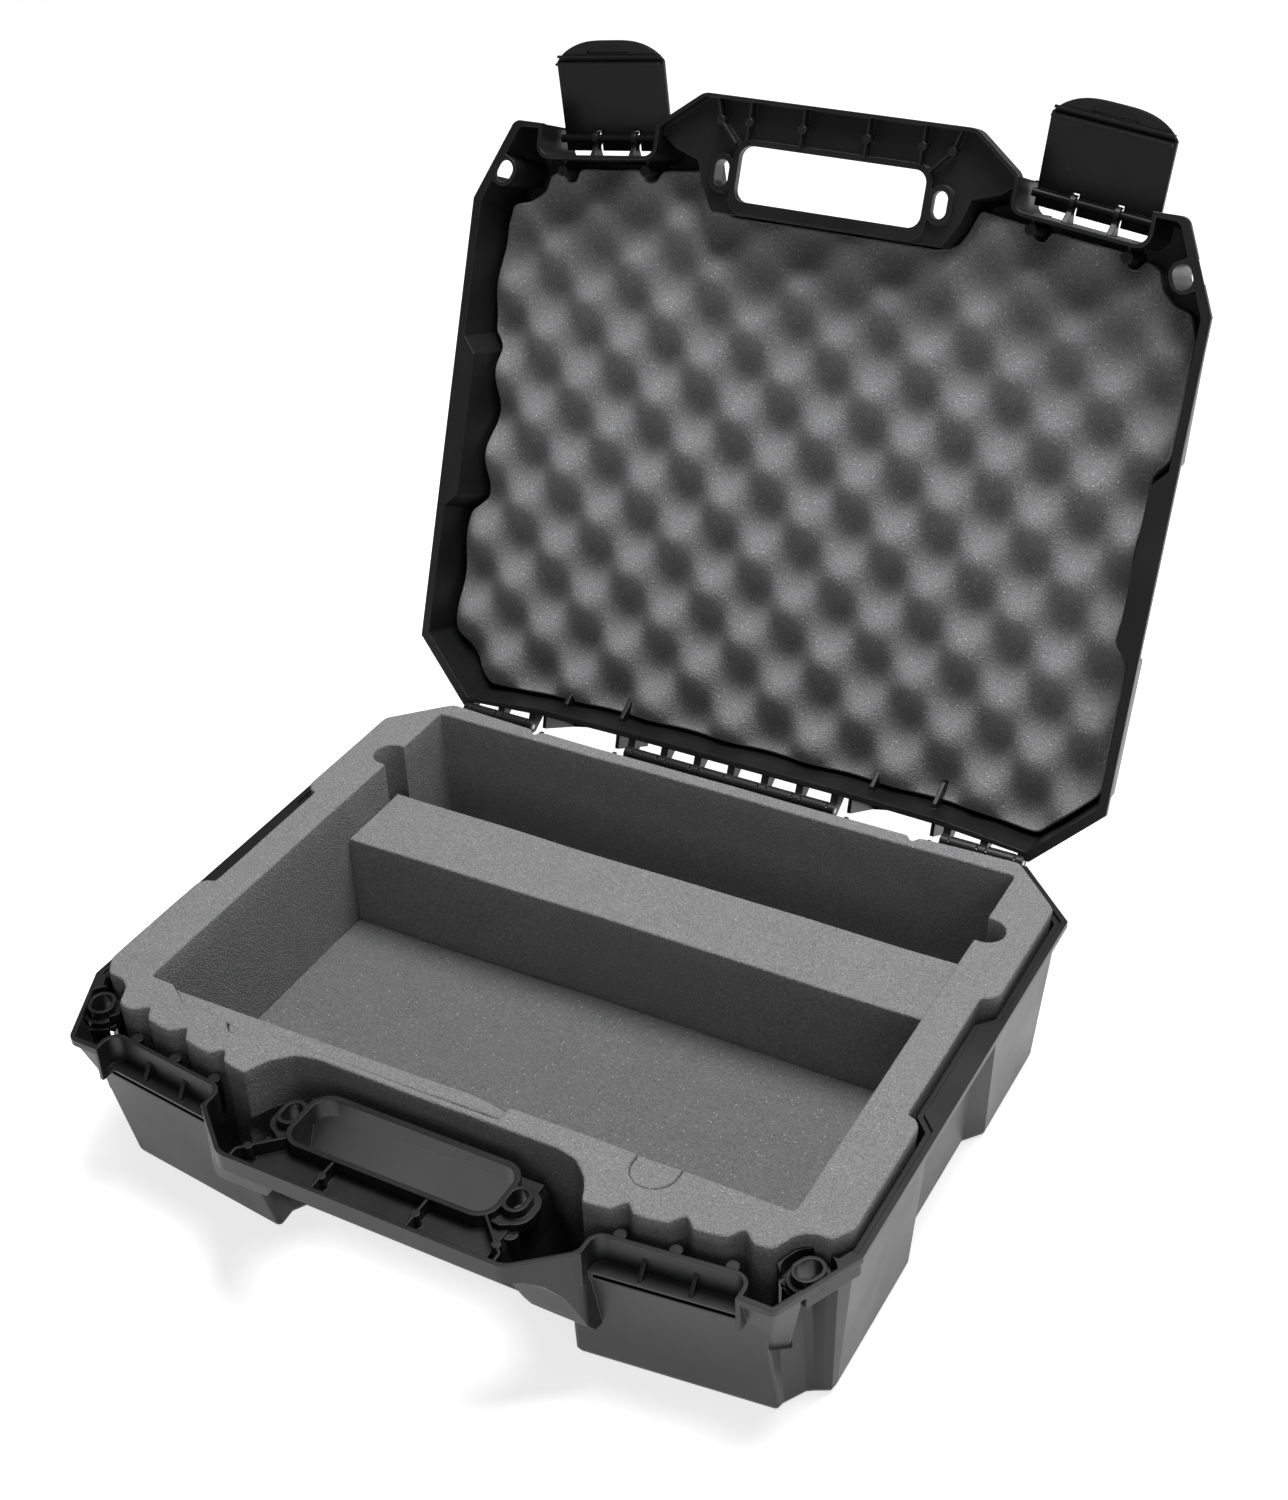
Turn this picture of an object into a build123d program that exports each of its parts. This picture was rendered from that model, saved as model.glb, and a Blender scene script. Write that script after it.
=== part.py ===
from build123d import *
import os
from math import cos, hypot, pi, radians, sin, tan

os.makedirs("parts", exist_ok=True)

# ---------------------------------------------------------------- driving dimensions (mm, degrees)
# Working frame: x to the right, "v" forwards from the hinge axis, "w" up from the hinge axis, which
# lies in the plane where the two rims meet.  The part frame is reached by lifting and shifting it.
HINGE_BACK = 190.0          # hinge axis behind the middle of the base
RIM_HEIGHT = 95.0           # rim plane above the floor
LID_DEPTH = 42.0            # lid above the rim plane
WALL = 2.2                  # moulded wall
FLANGE = 4.0                # height of the rim flange
RIM_GAP = 0.3               # between the two rims when closed
FOAM_GAP = 0.1              # foam blocks to each other and to the shells
LID_OPEN = 111.35           # opening of the lid in the rest pose
LATCH_OPEN = 71.0           # opening of the latches in the rest pose

# hinge
BARREL_R = 4.0
PIN_R = 1.5
PIN_CLEARANCE = 0.05
HINGE_PITCH = 22.0
BASE_KNUCKLE = 15.5
LID_KNUCKLE = 4.5
HINGE_GROUPS = {"left": (-168.0, -146.0), "right": (146.0, 168.0),
                "centre": (-55.0, -33.0, -11.0, 11.0, 33.0, 55.0)}

# latches
LATCH_U, LATCH_V, LATCH_W = 143.5, 347.5, 24.0
LATCH_SKEW = 6.57           # latch axis against the hinge axis, seen from above
LATCH_HALF = 34.2
LATCH_THICK = 2.5
LATCH_INNER = 2.0           # inner face of the plate in front of its axis
LATCH_ROD_R = 2.25
LATCH_ROD_HALF = 35.6
HOOK_X = 12.5
HOOK_WIDE = 3.0
HOOK_R = 4.2
FRONT_LINE = 6.75           # front line of the case in front of the latch axis
POCKET_BASE, POCKET_LID = 13.2, 17.4        # back walls of the latch pockets behind the front line
POCKET_ROUND = 6.0
POCKET_ENDS = (107.0, 180.0)
KEEPER_TOP, KEEPER_BOTTOM = -16.0, -21.2
KEEPER_BACK = 5.4           # face of the keeper ledge behind the front line
GROOVE_TOP, GROOVE_BOTTOM, GROOVE_DEPTH = -17.6, -19.7, 5.2
RIDGE_OUT, RIDGE_LOW = 4.5, 1.3             # height of the hook ridge and of the guide ridge
TOE = 7.5                   # plate above its axis

# handle
# hand hole (half, back, front, radius), ring round it, and ear hole (u, v, long, wide) in base and lid
HOLE_BASE, RING_BASE, EAR_BASE = (57.0, 326.4, 358.2, 9.0), (59.5, 323.0, 361.0, 11.5), (64.0, 342.3, 12.6, 8.3)
HOLE_LID, RING_LID, EAR_LID = (55.5, 323.7, 354.0, 7.0), (59.0, 317.0, 357.4, 9.0), (64.8, 337.7, 14.6, 8.6)
BAND_BASE, BAND_LID, BAND = 381.6, 378.8, 2.2       # outer face of the handle, and its thickness
TRAY_BASE, TRAY_LID = 10.4, 9.5
RING_SUNK = 4.4             # ring of the lid above its rim
COLUMN_DEPTH = 42.0

# padlock holes
LOCK_U, LOCK_V, LOCK_LONG, LOCK_WIDE, LOCK_RING = 201.5, 320.5, 13.0, 10.0, 2.0
LOCK_TURN = -24.7           # long axis of the hole, along the corner edge

# foam
FOAM_TOP = 9.0
CAVITY_HALF, CAVITY_BACK, CAVITY_FRONT = 184.5, 23.0, 299.0
PAD_TOP = -77.5
DIVIDER_TOP, DIVIDER_BACK, DIVIDER_FRONT = -17.0, 75.0, 126.0
CREST_PITCH_U, CREST_PITCH_V = 52.85, 50.8
CREST_U, CREST_V = 11.9, 281.0
CREST_MID, CREST_AMPLITUDE = 23.8, 6.2
LID_PAD_BACK = LID_DEPTH - WALL - FOAM_GAP
ROUND_U, ROUND_V, ROUND_R, ROUND_DEPTH = 116.0, 305.0, 12.0, 40.0
STRIP_LEFT, STRIP_RIGHT, STRIP_V, STRIP_LEAN, STRIP_DEEP = 170.0, 34.0, 309.0, 14.0, 60.0

# lid fittings
BOSSES = [(168.5, 325.7), (115.2, 332.3)]
FINS = [82.0, 120.5]

# ---------------------------------------------------------------- outlines (right half, rear to front)
RIM = [(70.0, 9.0), (130.0, 8.0), (181.4, 4.4), (181.4, 1.5), (183.8, 1.5), (220.0, 37.7), (220.0, 303.1),
       (198.4, 350.0), (180.0, 350.2), (180.0, 336.8), (107.0, 345.2), (107.0, 358.6)]

CORNERS = (8.0, 10.0)       # rounding of the handle's corners, at the latch pocket and at the front
TOWER_ROUND = 6.0           # rounding of the front corners of the case
RIM_ROUND = [0.0] * 7 + [TOWER_ROUND] + [0.0] * 3 + [*CORNERS]
RIM_ROUND += RIM_ROUND[::-1]

TUB_TOP = [(70.0, 10.6), (130.0, 9.6), (181.9, 5.3), (216.0, 39.4), (216.0, 127.5), (208.0, 136.0),
           (208.0, 207.5), (216.0, 216.0), (216.0, 302.3), (212.0, 311.0), (205.9, 311.2), (197.5, 310.5),
           (193.0, 314.0), (187.8, 328.0), (190.5, 346.6), (97.5, 357.3), (94.8, 330.5), (83.0, 325.0)]
TUB_FLOOR = [(70.0, 17.0), (130.0, 16.4), (178.6, 13.6), (208.4, 43.6), (208.4, 114.0), (200.2, 124.5),
             (200.2, 206.0), (208.4, 217.0), (208.4, 302.0), (207.7, 306.1), (204.0, 308.2), (200.5, 310.0),
             (197.5, 312.0), (191.0, 323.0), (189.9, 327.8), (87.4, 339.6), (88.2, 327.0), (84.6, 321.0)]
TUB_ROUND = [0.0, 0.0, 3.0, 4.0, 0.0, 0.0, 0.0, 0.0, 0.0, 0.0, 0.0, 0.0, 0.0, 0.0, 2.0, 2.5, 2.0, 0.0]

LID_TOP = [(70.0, 10.2), (130.0, 9.2), (182.3, 4.4), (217.1, 39.2), (217.1, 121.0), (209.0, 130.0),
           (209.0, 213.0), (217.1, 222.0), (217.1, 302.6), (196.2, 348.9), (181.0, 349.75), (107.2, 358.25),
           (95.5, 349.5), (79.5, 344.5), (75.5, 332.0), (67.5, 318.6)]
LID_CROWN = [(70.0, 12.6), (130.0, 11.8), (180.6, 8.0), (213.4, 40.8), (213.4, 117.5), (205.0, 127.5),
             (205.0, 215.5), (213.4, 225.5), (211.6, 301.2), (190.8, 346.6), (180.0, 349.3), (108.0, 357.5),
             (96.5, 349.0), (80.5, 344.0), (76.5, 331.5), (68.5, 317.2)]
LID_ROUND = [0.0, 0.0, 3.0, 4.0, 0.0, 0.0, 0.0, 0.0, 4.0, 5.0, 0.0, 3.0, 0.0, 0.0, 0.0, 3.0]

FOAM = [(70.0, 13.8), (130.0, 13.1), (182.6, 10.7), (212.9, 41.0), (213.2, 119.0), (208.6, 124.4), (205.2, 124.8),
        (205.2, 219.2), (209.4, 219.6), (213.2, 223.9), (213.2, 297.0), (206.4, 307.2), (200.5, 307.2), (195.0, 308.6),
        (190.8, 312.2), (185.5, 324.0), (95.5, 337.4), (93.0, 330.6), (88.8, 323.3), (79.8, 315.4),
        (68.7, 313.0)]
PAD = [(70.0, 16.0), (130.0, 15.2), (180.0, 11.8), (209.6, 41.6), (209.6, 116.5), (201.8, 125.6),
       (201.8, 217.4), (209.6, 226.6), (209.6, 296.0), (186.0, 324.0), (160.0, 329.2), (110.0, 334.6),
       (82.6, 338.4), (79.4, 331.0), (72.0, 317.6), (64.0, 314.4)]

# deep ends of the handle: plan, seen from the front (u, w) and seen from the side (v, w)
END_PLAN = [(62.0, 300.0), (107.0, 300.0), (107.0, 358.6), (80.0, BAND_BASE), (62.0, BAND_BASE)]
END_FRONT = [(64.0, 5.0), (64.0, -TRAY_BASE), (66.0, -14.0), (68.8, -30.0), (74.0, -46.0), (82.0, -58.0),
             (91.0, -63.0), (107.0, -64.0), (107.0, 5.0)]
END_SIDE = [(300.0, 5.0), (300.0, -64.0), (340.0, -61.5), (350.5, -58.5), (356.6, -50.0), (359.4, -42.0),
            (364.0, -27.0), (370.0, -17.0), (376.0, -12.0), (BAND_BASE, -TRAY_BASE), (BAND_BASE, 5.0)]

# sunken plate round a padlock hole in the base
LOCK_PLATE = [(219.3, 303.6), (206.0, 332.6), (190.4, 326.0), (194.0, 311.5), (213.5, 308.6)]
WELL_DEPTH, WELL_GROW, WELL_EDGE = 9.0, 6.4, 7.5      # well: depth, and reach round the hole and to the edge
TIER_DEPTH, TIER_GROW = 5.0, 4.2
NICHE = 2.3                 # roof of the niche behind a padlock hole in the lid


# ---------------------------------------------------------------- helpers
def whole(half):
    """Close a right half outline over the mid plane."""
    return half + [(-u, v) for u, v in reversed(half)]


def unit(p, q):
    """Unit vector from one plan point to the next."""
    length = hypot(q[0] - p[0], q[1] - p[1])
    return (q[0] - p[0]) / length, (q[1] - p[1]) / length


def inset(points, distance):
    """Move a closed outline inwards, keeping its corners sharp."""
    moved = []
    for i, p in enumerate(points):
        a = unit(points[i - 1], p)
        b = unit(p, points[(i + 1) % len(points)])
        na = (-a[1], a[0])
        nb = (-b[1], b[0])
        k = distance / (1 + na[0] * nb[0] + na[1] * nb[1])
        moved.append((p[0] + k * (na[0] + nb[0]), p[1] + k * (na[1] + nb[1])))
    return moved


def flat(points, w, rounds=None):
    """Face inside a closed outline at height w, with the given corner radii."""
    n = len(points)
    if rounds is None:
        rounds = [0.0] * n
    ends = []
    edges = []
    for i, p in enumerate(points):
        a = unit(points[i - 1], p)
        b = unit(p, points[(i + 1) % n])
        dot = max(-1.0, min(1.0, a[0] * b[0] + a[1] * b[1]))
        if rounds[i] <= 0:
            ends.append((p, None, p))
            continue
        half = ((1 - dot) / (1 + dot)) ** 0.5
        t = rounds[i] * half
        start = (p[0] - a[0] * t, p[1] - a[1] * t)
        stop = (p[0] + b[0] * t, p[1] + b[1] * t)
        size = hypot(b[0] - a[0], b[1] - a[1])
        reach = rounds[i] * ((1 + half * half) ** 0.5 - 1)
        mid = (p[0] + (b[0] - a[0]) / size * reach, p[1] + (b[1] - a[1]) / size * reach)
        ends.append((start, mid, stop))
    for i in range(n):
        start, mid, stop = ends[i]
        last = ends[i - 1][2]
        edges.append(Line((last[0], -last[1], w), (start[0], -start[1], w)))
        if mid is not None:
            edges.append(ThreePointArc((start[0], -start[1], w), (mid[0], -mid[1], w), (stop[0], -stop[1], w)))
    return make_face(edges)


def prism(points, low, high, rounds=None):
    """Straight block over a plan outline."""
    return extrude(flat(points, low, rounds), amount=high - low, dir=(0, 0, 1))


def hopper(sections):
    """Block through outlines at rising heights: (points, height, rounds)."""
    return loft([flat(points, w, rounds) for points, w, rounds in sections], ruled=True)


def box(u0, u1, v0, v1, w0, w1):
    """Box between plan and height limits."""
    return Pos((u0 + u1) / 2, -(v0 + v1) / 2, (w0 + w1) / 2) * Box(u1 - u0, v1 - v0, w1 - w0)


def side_plate(profile, u, thick):
    """Upright plate across u, from a profile of (v, w) points."""
    wire = Polyline([(u - thick / 2, -v, w) for v, w in profile], close=True)
    return extrude(make_face(wire), amount=thick, dir=(1, 0, 0))


def oval(u, v, long, wide, low, high, turn=0.0):
    """Rounded slot block, long in v before it is turned."""
    sketch = Rot(0, 0, turn) * SlotOverall(long, wide, rotation=90)
    return extrude(Pos(u, -v, low) * sketch, amount=high - low, dir=(0, 0, 1))


def rounded_box(half, back, front, radius, low, high):
    """Block with rounded corners, centred on the mid plane."""
    sketch = Pos(0, -(back + front) / 2, low) * RectangleRounded(2 * half, front - back, radius)
    return extrude(sketch, amount=high - low, dir=(0, 0, 1))


def both(shape):
    """A shape and its mirror image over the mid plane."""
    return [shape, mirror(shape, about=Plane.YZ)]


def as_base(shape):
    """From the working frame to the part frame."""
    return Pos(0, HINGE_BACK, RIM_HEIGHT) * shape


def as_lid(shape):
    """From the closed lid to the open lid in the part frame."""
    return Pos(0, HINGE_BACK, RIM_HEIGHT) * (Rot(-LID_OPEN, 0, 0) * shape)


def latch_frame(side, shape):
    """From the frame of a latch axis to the closed case; side is -1 or +1."""
    return Pos(side * LATCH_U, -LATCH_V, LATCH_W) * (Rot(0, 0, side * LATCH_SKEW) * shape)


def save(shape, name):
    """Write one node."""
    export_step(shape, "parts/" + name + ".step")
    print(name, len(shape.solids()), round(shape.volume / 1000, 1), "cm3", shape.is_valid)


# ---------------------------------------------------------------- hinge
def hinge_spans(moving):
    """Knuckle spans along u for the lid (moving) or the base."""
    spans = []
    for centres in HINGE_GROUPS.values():
        if moving:
            first = centres[0] - HINGE_PITCH / 2
            for i in range(len(centres) + 1):
                middle = first + i * HINGE_PITCH
                spans.append((middle - LID_KNUCKLE / 2, middle + LID_KNUCKLE / 2))
        else:
            for middle in centres:
                spans.append((middle - BASE_KNUCKLE / 2, middle + BASE_KNUCKLE / 2))
    return spans


def knuckles(moving):
    """Hinge knuckles with the brackets that join them to the rear wall."""
    sign = 1.0 if moving else -1.0
    profile = [(-BARREL_R, 0.0), (-BARREL_R + 0.8, sign * 3.5), (12.0, sign * 16.0), (12.0, sign * 1.5),
               (8.6, sign * 0.9), (3.6, sign * 0.6)]
    parts = []
    for u0, u1 in hinge_spans(moving):
        barrel = Pos((u0 + u1) / 2, 0, 0) * (Rot(0, 90, 0) * Cylinder(BARREL_R, u1 - u0))
        parts.append(barrel)
        parts.append(side_plate(profile, (u0 + u1) / 2, u1 - u0))
    return parts


def hinge_bores(radius):
    """Bores of the three hinge pins."""
    bores = []
    for centres in HINGE_GROUPS.values():
        u0 = centres[0] - HINGE_PITCH / 2 - LID_KNUCKLE
        u1 = centres[-1] + HINGE_PITCH / 2 + LID_KNUCKLE
        bores.append(Pos((u0 + u1) / 2, 0, 0) * (Rot(0, 90, 0) * Cylinder(radius, u1 - u0)))
    return bores


def rear_feet(sign, depth, wall_v):
    """Flared feet of the rear wall, between the hinge groups."""
    parts = []
    profile = [(0.4, sign * 1.5), (wall_v, sign * 0.6), (wall_v + 6, sign * depth), (-5.0, sign * depth)]
    for u in (75.7, 126.3):
        parts += both(side_plate(profile, u, WALL))
    low, high = sorted((sign * depth, sign * (depth - WALL)))
    plate = [(75.7, wall_v + 6), (75.7, -5.0), (88.0, -2.5), (101.0, -1.8), (114.0, -2.5), (126.3, -5.0),
             (126.3, wall_v + 6)]
    parts += both(prism(plate, low, high))
    return parts


# ---------------------------------------------------------------- shared parts of the two shells
def merge(shape, pieces):
    """Add a list of pieces to a shape."""
    for piece in pieces:
        shape = shape + piece
    return shape


def carve(shape, pieces):
    """Take a list of pieces out of a shape."""
    for piece in pieces:
        shape = shape - piece
    return shape


def front_line(u, behind):
    """Depth of a line parallel to the latch axis, at u, a distance behind the front line."""
    shift = (FRONT_LINE - behind) / cos(radians(LATCH_SKEW))
    return LATCH_V + shift + (LATCH_U - u) * tan(radians(LATCH_SKEW))


def front_strip(u0, u1, near, far, low, high, radius=0.0):
    """Block between two lines parallel to the latch axis, on the right half, with rounded rear corners."""
    return prism([(u0, front_line(u0, far)), (u1, front_line(u1, far)), (u1, front_line(u1, near)),
                  (u0, front_line(u0, near))], low, high, [radius, radius, 0.0, 0.0])


def handle_tray(back, front, low, high, floor_low, floor_high, reach):
    """Outer block of the handle and the hollow that opens it to the shell."""
    outer = prism(whole([(107.0, back), (107.0, 358.6), (80.0, front)]), low, high, [0.0, *CORNERS, *CORNERS[::-1], 0.0])
    slope = unit((107.0, 358.6), (80.0, front))
    inner = prism(whole([(107.0 - WALL, 300.0), (107.0 - WALL, 357.4), (79.2, front - BAND + slope[1] * 0.2)]),
                  floor_low, floor_high) & box(-reach, reach, 290, 400, floor_low, floor_high)
    return outer, inner


def round_ring(size, low, high):
    """Block with the outline of a ring or hole: (half, back, front, radius)."""
    half, back, front, radius = size
    return rounded_box(half, back, front, radius, low, high)


def ear(side, size, grow, low, high):
    """Oval of an ear, grown by a wall."""
    u, v, long, wide = size
    return oval(side * u, v, long + 2 * grow, wide + 2 * grow, low, high)


def rib(start, stop, low, high):
    """Thin upright rib between two plan points."""
    d = unit(start, stop)
    n = (-d[1] * 0.7, d[0] * 0.7)
    return prism([(start[0] + n[0], start[1] + n[1]), (stop[0] + n[0], stop[1] + n[1]),
                  (stop[0] - n[0], stop[1] - n[1]), (start[0] - n[0], start[1] - n[1])], low, high)


def handle_ribs(straight, corner, boss_v, front, low, high):
    """Ribs between the ring and the outer face of the handle, each with a boss."""
    parts = []
    ring_front, band_v = front
    for u in straight:
        parts += both(rib((u, ring_front - 1), (u, band_v - 1.5), low, high))
        parts += both(Pos(u, -boss_v, (low + high) / 2) * Cylinder(2.4, high - low))
    for start, stop in zip(corner, corner[1:]):
        parts += both(rib(start, stop, low, high))
    parts += both(Pos(corner[1][0], -corner[1][1], (low + high) / 2) * Cylinder(2.4, high - low))
    return parts


def lock_tube(side, grow, low, high):
    """Oval round a padlock hole, grown by a wall."""
    return oval(side * LOCK_U, LOCK_V, LOCK_LONG + 2 * grow, LOCK_WIDE + 2 * grow, low, high, side * LOCK_TURN)


def lock_well(side, grow, low, high):
    """Well round a padlock hole, that leaves a strip along the edge."""
    reach = Rot(0, 0, side * LOCK_TURN) * Pos(side * (WELL_EDGE - 20.0), 0, 0) * Box(40.0, 60.0, 60.0)
    return lock_tube(side, grow, low, high) & (Pos(side * LOCK_U, -LOCK_V, 0) * reach)


def base_room(gap):
    """Inside of the base below its rim, a gap away from the walls."""
    top, bottom = whole(TUB_TOP), whole(TUB_FLOOR)
    tight = [max(0.0, r - 0.5) for r in TUB_ROUND + TUB_ROUND[::-1]]
    low = WALL - RIM_HEIGHT
    return hopper([(inset(bottom, WALL + 2.0 + gap), low + gap, tight), (inset(bottom, WALL + gap), low + 2.4, tight),
                   (inset(top, WALL + gap), 0.0, tight)])


def lid_room(gap):
    """Inside of the lid above its rim, a gap away from the walls."""
    top, crown = whole(LID_TOP), whole(LID_CROWN)
    tight = [max(0.0, r - 0.5) for r in LID_ROUND + LID_ROUND[::-1]]
    high = LID_DEPTH - WALL
    return hopper([(inset(top, WALL + gap), RIM_GAP, tight), (inset(crown, WALL + gap), high - 2.4, tight),
                   (inset(crown, WALL + 2.0 + gap), high - gap, tight)])


# ---------------------------------------------------------------- base shell
def handle_end(side, thick):
    """Deep end of the handle, shrunk by a wall."""
    plan = [(side * u, v) for u, v in inset(END_PLAN, thick)]
    front = Polyline([(side * u, -290.0, w) for u, w in inset(END_FRONT, thick)], close=True)
    across = extrude(make_face(front), amount=120.0, dir=(0, -1, 0))
    along = side_plate(inset(END_SIDE, thick), side * 85.0, 50.0)
    top = 0.0 if thick == 0 else 1.0
    rounds = [0.0, 0.0, *CORNERS, 0.0][::side]
    return prism(plan[::side], -70.0, top, rounds) & across & along


def corner_tower(side):
    """Hollow tower beside a latch pocket, open to the shell, as (block, hollow)."""
    block = [(180.0, 332.0), (180.0, 349.9), (198.4, 349.9), (206.5, 332.4), (196.0, 327.0)]
    foot = [(185.0, 330.0), (185.0, 336.6), (191.0, 336.0), (198.0, 330.8), (194.0, 326.0)]
    pit = [(180.0 + WALL, 318.0), (180.0 + WALL, 347.6), (197.0, 347.6), (203.4, 333.6), (190.5, 327.4)]
    pit_foot = [(186.6, 322.0), (186.6, 335.2), (190.4, 334.8), (194.4, 331.6), (190.0, 326.6)]
    turned = [[(side * u, v) for u, v in points] for points in (block, foot, pit, pit_foot)]
    if side < 0:
        turned = [points[::-1] for points in turned]
    rounds = [0.0, 0.0, TOWER_ROUND + 0.2, 3.0, 0.0][::1 if side > 0 else -1]
    soft = [0.0, 0.0, 2.0, 1.5, 0.0][::1 if side > 0 else -1]
    solid = hopper([(inset(turned[1], 1.0), -COLUMN_DEPTH, soft), (turned[1], -COLUMN_DEPTH + 1.5, soft),
                    (turned[0], 0.0, rounds)])
    hollow = hopper([(turned[3], -COLUMN_DEPTH + WALL, None), (turned[2], 1.0, None)])
    return solid, hollow


def base_shell():
    top, bottom = whole(TUB_TOP), whole(TUB_FLOOR)
    rounds = TUB_ROUND + TUB_ROUND[::-1]
    low = -RIM_HEIGHT
    tub = hopper([(inset(bottom, 3.0), low, rounds), (inset(bottom, 0.9), low + 1.0, rounds),
                  (bottom, low + 3.2, rounds), (top, 0.0, rounds)])
    cavity = base_room(0.0)
    tray, tray_hollow = handle_tray(322.0, BAND_BASE, -TRAY_BASE, 0.0, WALL - TRAY_BASE, 1.0, 67.5)
    shell = merge(tub, [tray, prism(whole(RIM + [(80.0, BAND_BASE)]), -FLANGE, 0.0, RIM_ROUND)])
    shell = merge(shell, both(prism(LOCK_PLATE, -WELL_DEPTH - WALL, -FLANGE + 1.0)))
    towers = [corner_tower(side) for side in (-1, 1)]
    shell = merge(shell, [handle_end(side, 0.0) for side in (-1, 1)])
    shell = merge(shell, [solid for solid, _ in towers])
    shell = merge(shell, rear_feet(-1.0, RIM_HEIGHT, 9.0) + knuckles(False))
    shell = carve(shell, [cavity, tray_hollow] + [handle_end(side, WALL) for side in (-1, 1)])
    shell = carve(shell, [hollow for _, hollow in towers] + [lock_well(side, WELL_GROW, -WELL_DEPTH, 1.0)
                                                            for side in (-1, 1)])

    # rebate inside the rim flange, along the sides and the rear corners
    rebate = prism(inset(top, -0.8), -1.8, 1.0) & box(-230, 230, 20, 302, -1.8, 1.0)
    shell = shell - rebate

    # latch pockets: skin and keeper ledge, then the pocket itself and the hook groove
    u0, u1 = POCKET_ENDS
    skins = both(front_strip(u0 - WALL, u1 + WALL, 0.0, POCKET_BASE + WALL, KEEPER_BOTTOM, 0.0, POCKET_ROUND + WALL))
    shell = merge(shell, skins)
    pockets = both(front_strip(u0, u1, -3.0, POCKET_BASE, KEEPER_TOP, 1.0, POCKET_ROUND))
    fronts = both(front_strip(u0, u1, -3.0, KEEPER_BACK, -31.0, KEEPER_TOP + 1.0))
    grooves = both(front_strip(u0 + 2.0, u1 - 2.0, -3.0, KEEPER_BACK + GROOVE_DEPTH, GROOVE_BOTTOM, GROOVE_TOP))
    shell = carve(shell, pockets + fronts + grooves)
    gussets = []
    for u in (131.0, 155.5):
        back, front = front_line(u, POCKET_BASE + 1), front_line(u, KEEPER_BACK + 1.2)
        gussets += both(side_plate([(back, KEEPER_TOP - 1), (front, KEEPER_TOP - 1), (front, KEEPER_TOP + 0.6),
                                    (back, -5.0)], u, 2.0))
    shell = merge(shell, gussets)

    # bosses behind the pockets
    for u in (115.5, 142.5, 169.5):
        v = front_line(u, POCKET_BASE + WALL + 4.4)
        shell = merge(shell, both(Pos(u, -v, -14.0) * Cylinder(3.2, 22.0)))
        shell = merge(shell, both(box(u - 0.8, u + 0.8, v, v + 5.5, -25.0, -3.0)))

    # ring, ears, posts and ribs of the handle
    fittings = [round_ring(RING_BASE, -TRAY_BASE, 0.0)]
    for side in (-1, 1):
        fittings += [ear(side, EAR_BASE, 2.3, -TRAY_BASE, 0.0), ear(side, EAR_BASE, 5.8, -TRAY_BASE, -4.8)]
        fittings.append(Pos(side * 67.0, -355.0, -20.0) * Cylinder(4.2, 21.0))
    fittings += both(prism([(52.0, 346.0), (66.0, 344.0), (68.4, 350.5), (67.9, 353.1), (65.4, 355.0), (62.6, 356.6),
                             (56.4, 356.0)], -TRAY_BASE, -4.8))
    fittings += handle_ribs((26.5,), ((56.4, 357.4), (69.8, 370.2), (73.9, 374.2), (73.9, 380.4)), 370.8,
                            (361.0, BAND_BASE), WALL - TRAY_BASE, -0.6)
    shell = merge(shell, fittings)
    shell = carve(shell, [round_ring(HOLE_BASE, -60.0, 1.0)] + [ear(side, EAR_BASE, 0.0, -60.0, 1.0) for side in (-1, 1)])

    # tier and ring of the padlock holes
    for side in (-1, 1):
        shell = merge(shell, [lock_tube(side, TIER_GROW, -WELL_DEPTH - 1.0, -TIER_DEPTH),
                              lock_tube(side, LOCK_RING, -WELL_DEPTH - 1.0, 0.0)])
        shell = shell - lock_tube(side, 0.0, -30.0, 1.0)
    shell = carve(shell, hinge_bores(PIN_R))
    return shell


# ---------------------------------------------------------------- lid shell
def lock_channel(side, grow, low, high):
    """Open channel that frees a padlock hole from outside, grown by a wall."""
    reach = Pos(side * LOCK_U, -LOCK_V, low) * (Rot(0, 0, side * LOCK_TURN) * Pos(side * 10.0, 0, 0) * Box(
        20.0, LOCK_LONG + 2 * grow, high - low, align=(Align.CENTER, Align.CENTER, Align.MIN)))
    return lock_tube(side, grow, low, high) + reach


def latch_hooks():
    """The two hooks that hold the rod of a latch, in the latch frame."""
    arms = []
    back = POCKET_LID - FRONT_LINE + 0.6
    for x in (-HOOK_X, HOOK_X):
        arm = Pos(x, 0, 0) * (Rot(0, 90, 0) * Cylinder(HOOK_R, HOOK_WIDE))
        arm = arm + extrude(make_face(Polyline(
            [(x - HOOK_WIDE / 2, y, z) for y, z in ((0, -2.5), (5.0, -2.5), (back, -6.5), (back, 6.5), (5.0, 2.5),
                                                    (0, 2.5))], close=True)), amount=HOOK_WIDE, dir=(1, 0, 0))
        arm = arm - Pos(x, 0, 0) * (Rot(0, 90, 0) * Cylinder(LATCH_ROD_R + PIN_CLEARANCE, HOOK_WIDE + 1))
        mouth = Pos(x, 0, 0) * (Rot(45, 0, 0) * Pos(0, 0, 4.0) * Box(HOOK_WIDE + 1, 3.4, 8.0))
        arms.append(arm - mouth)
    return arms


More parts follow.
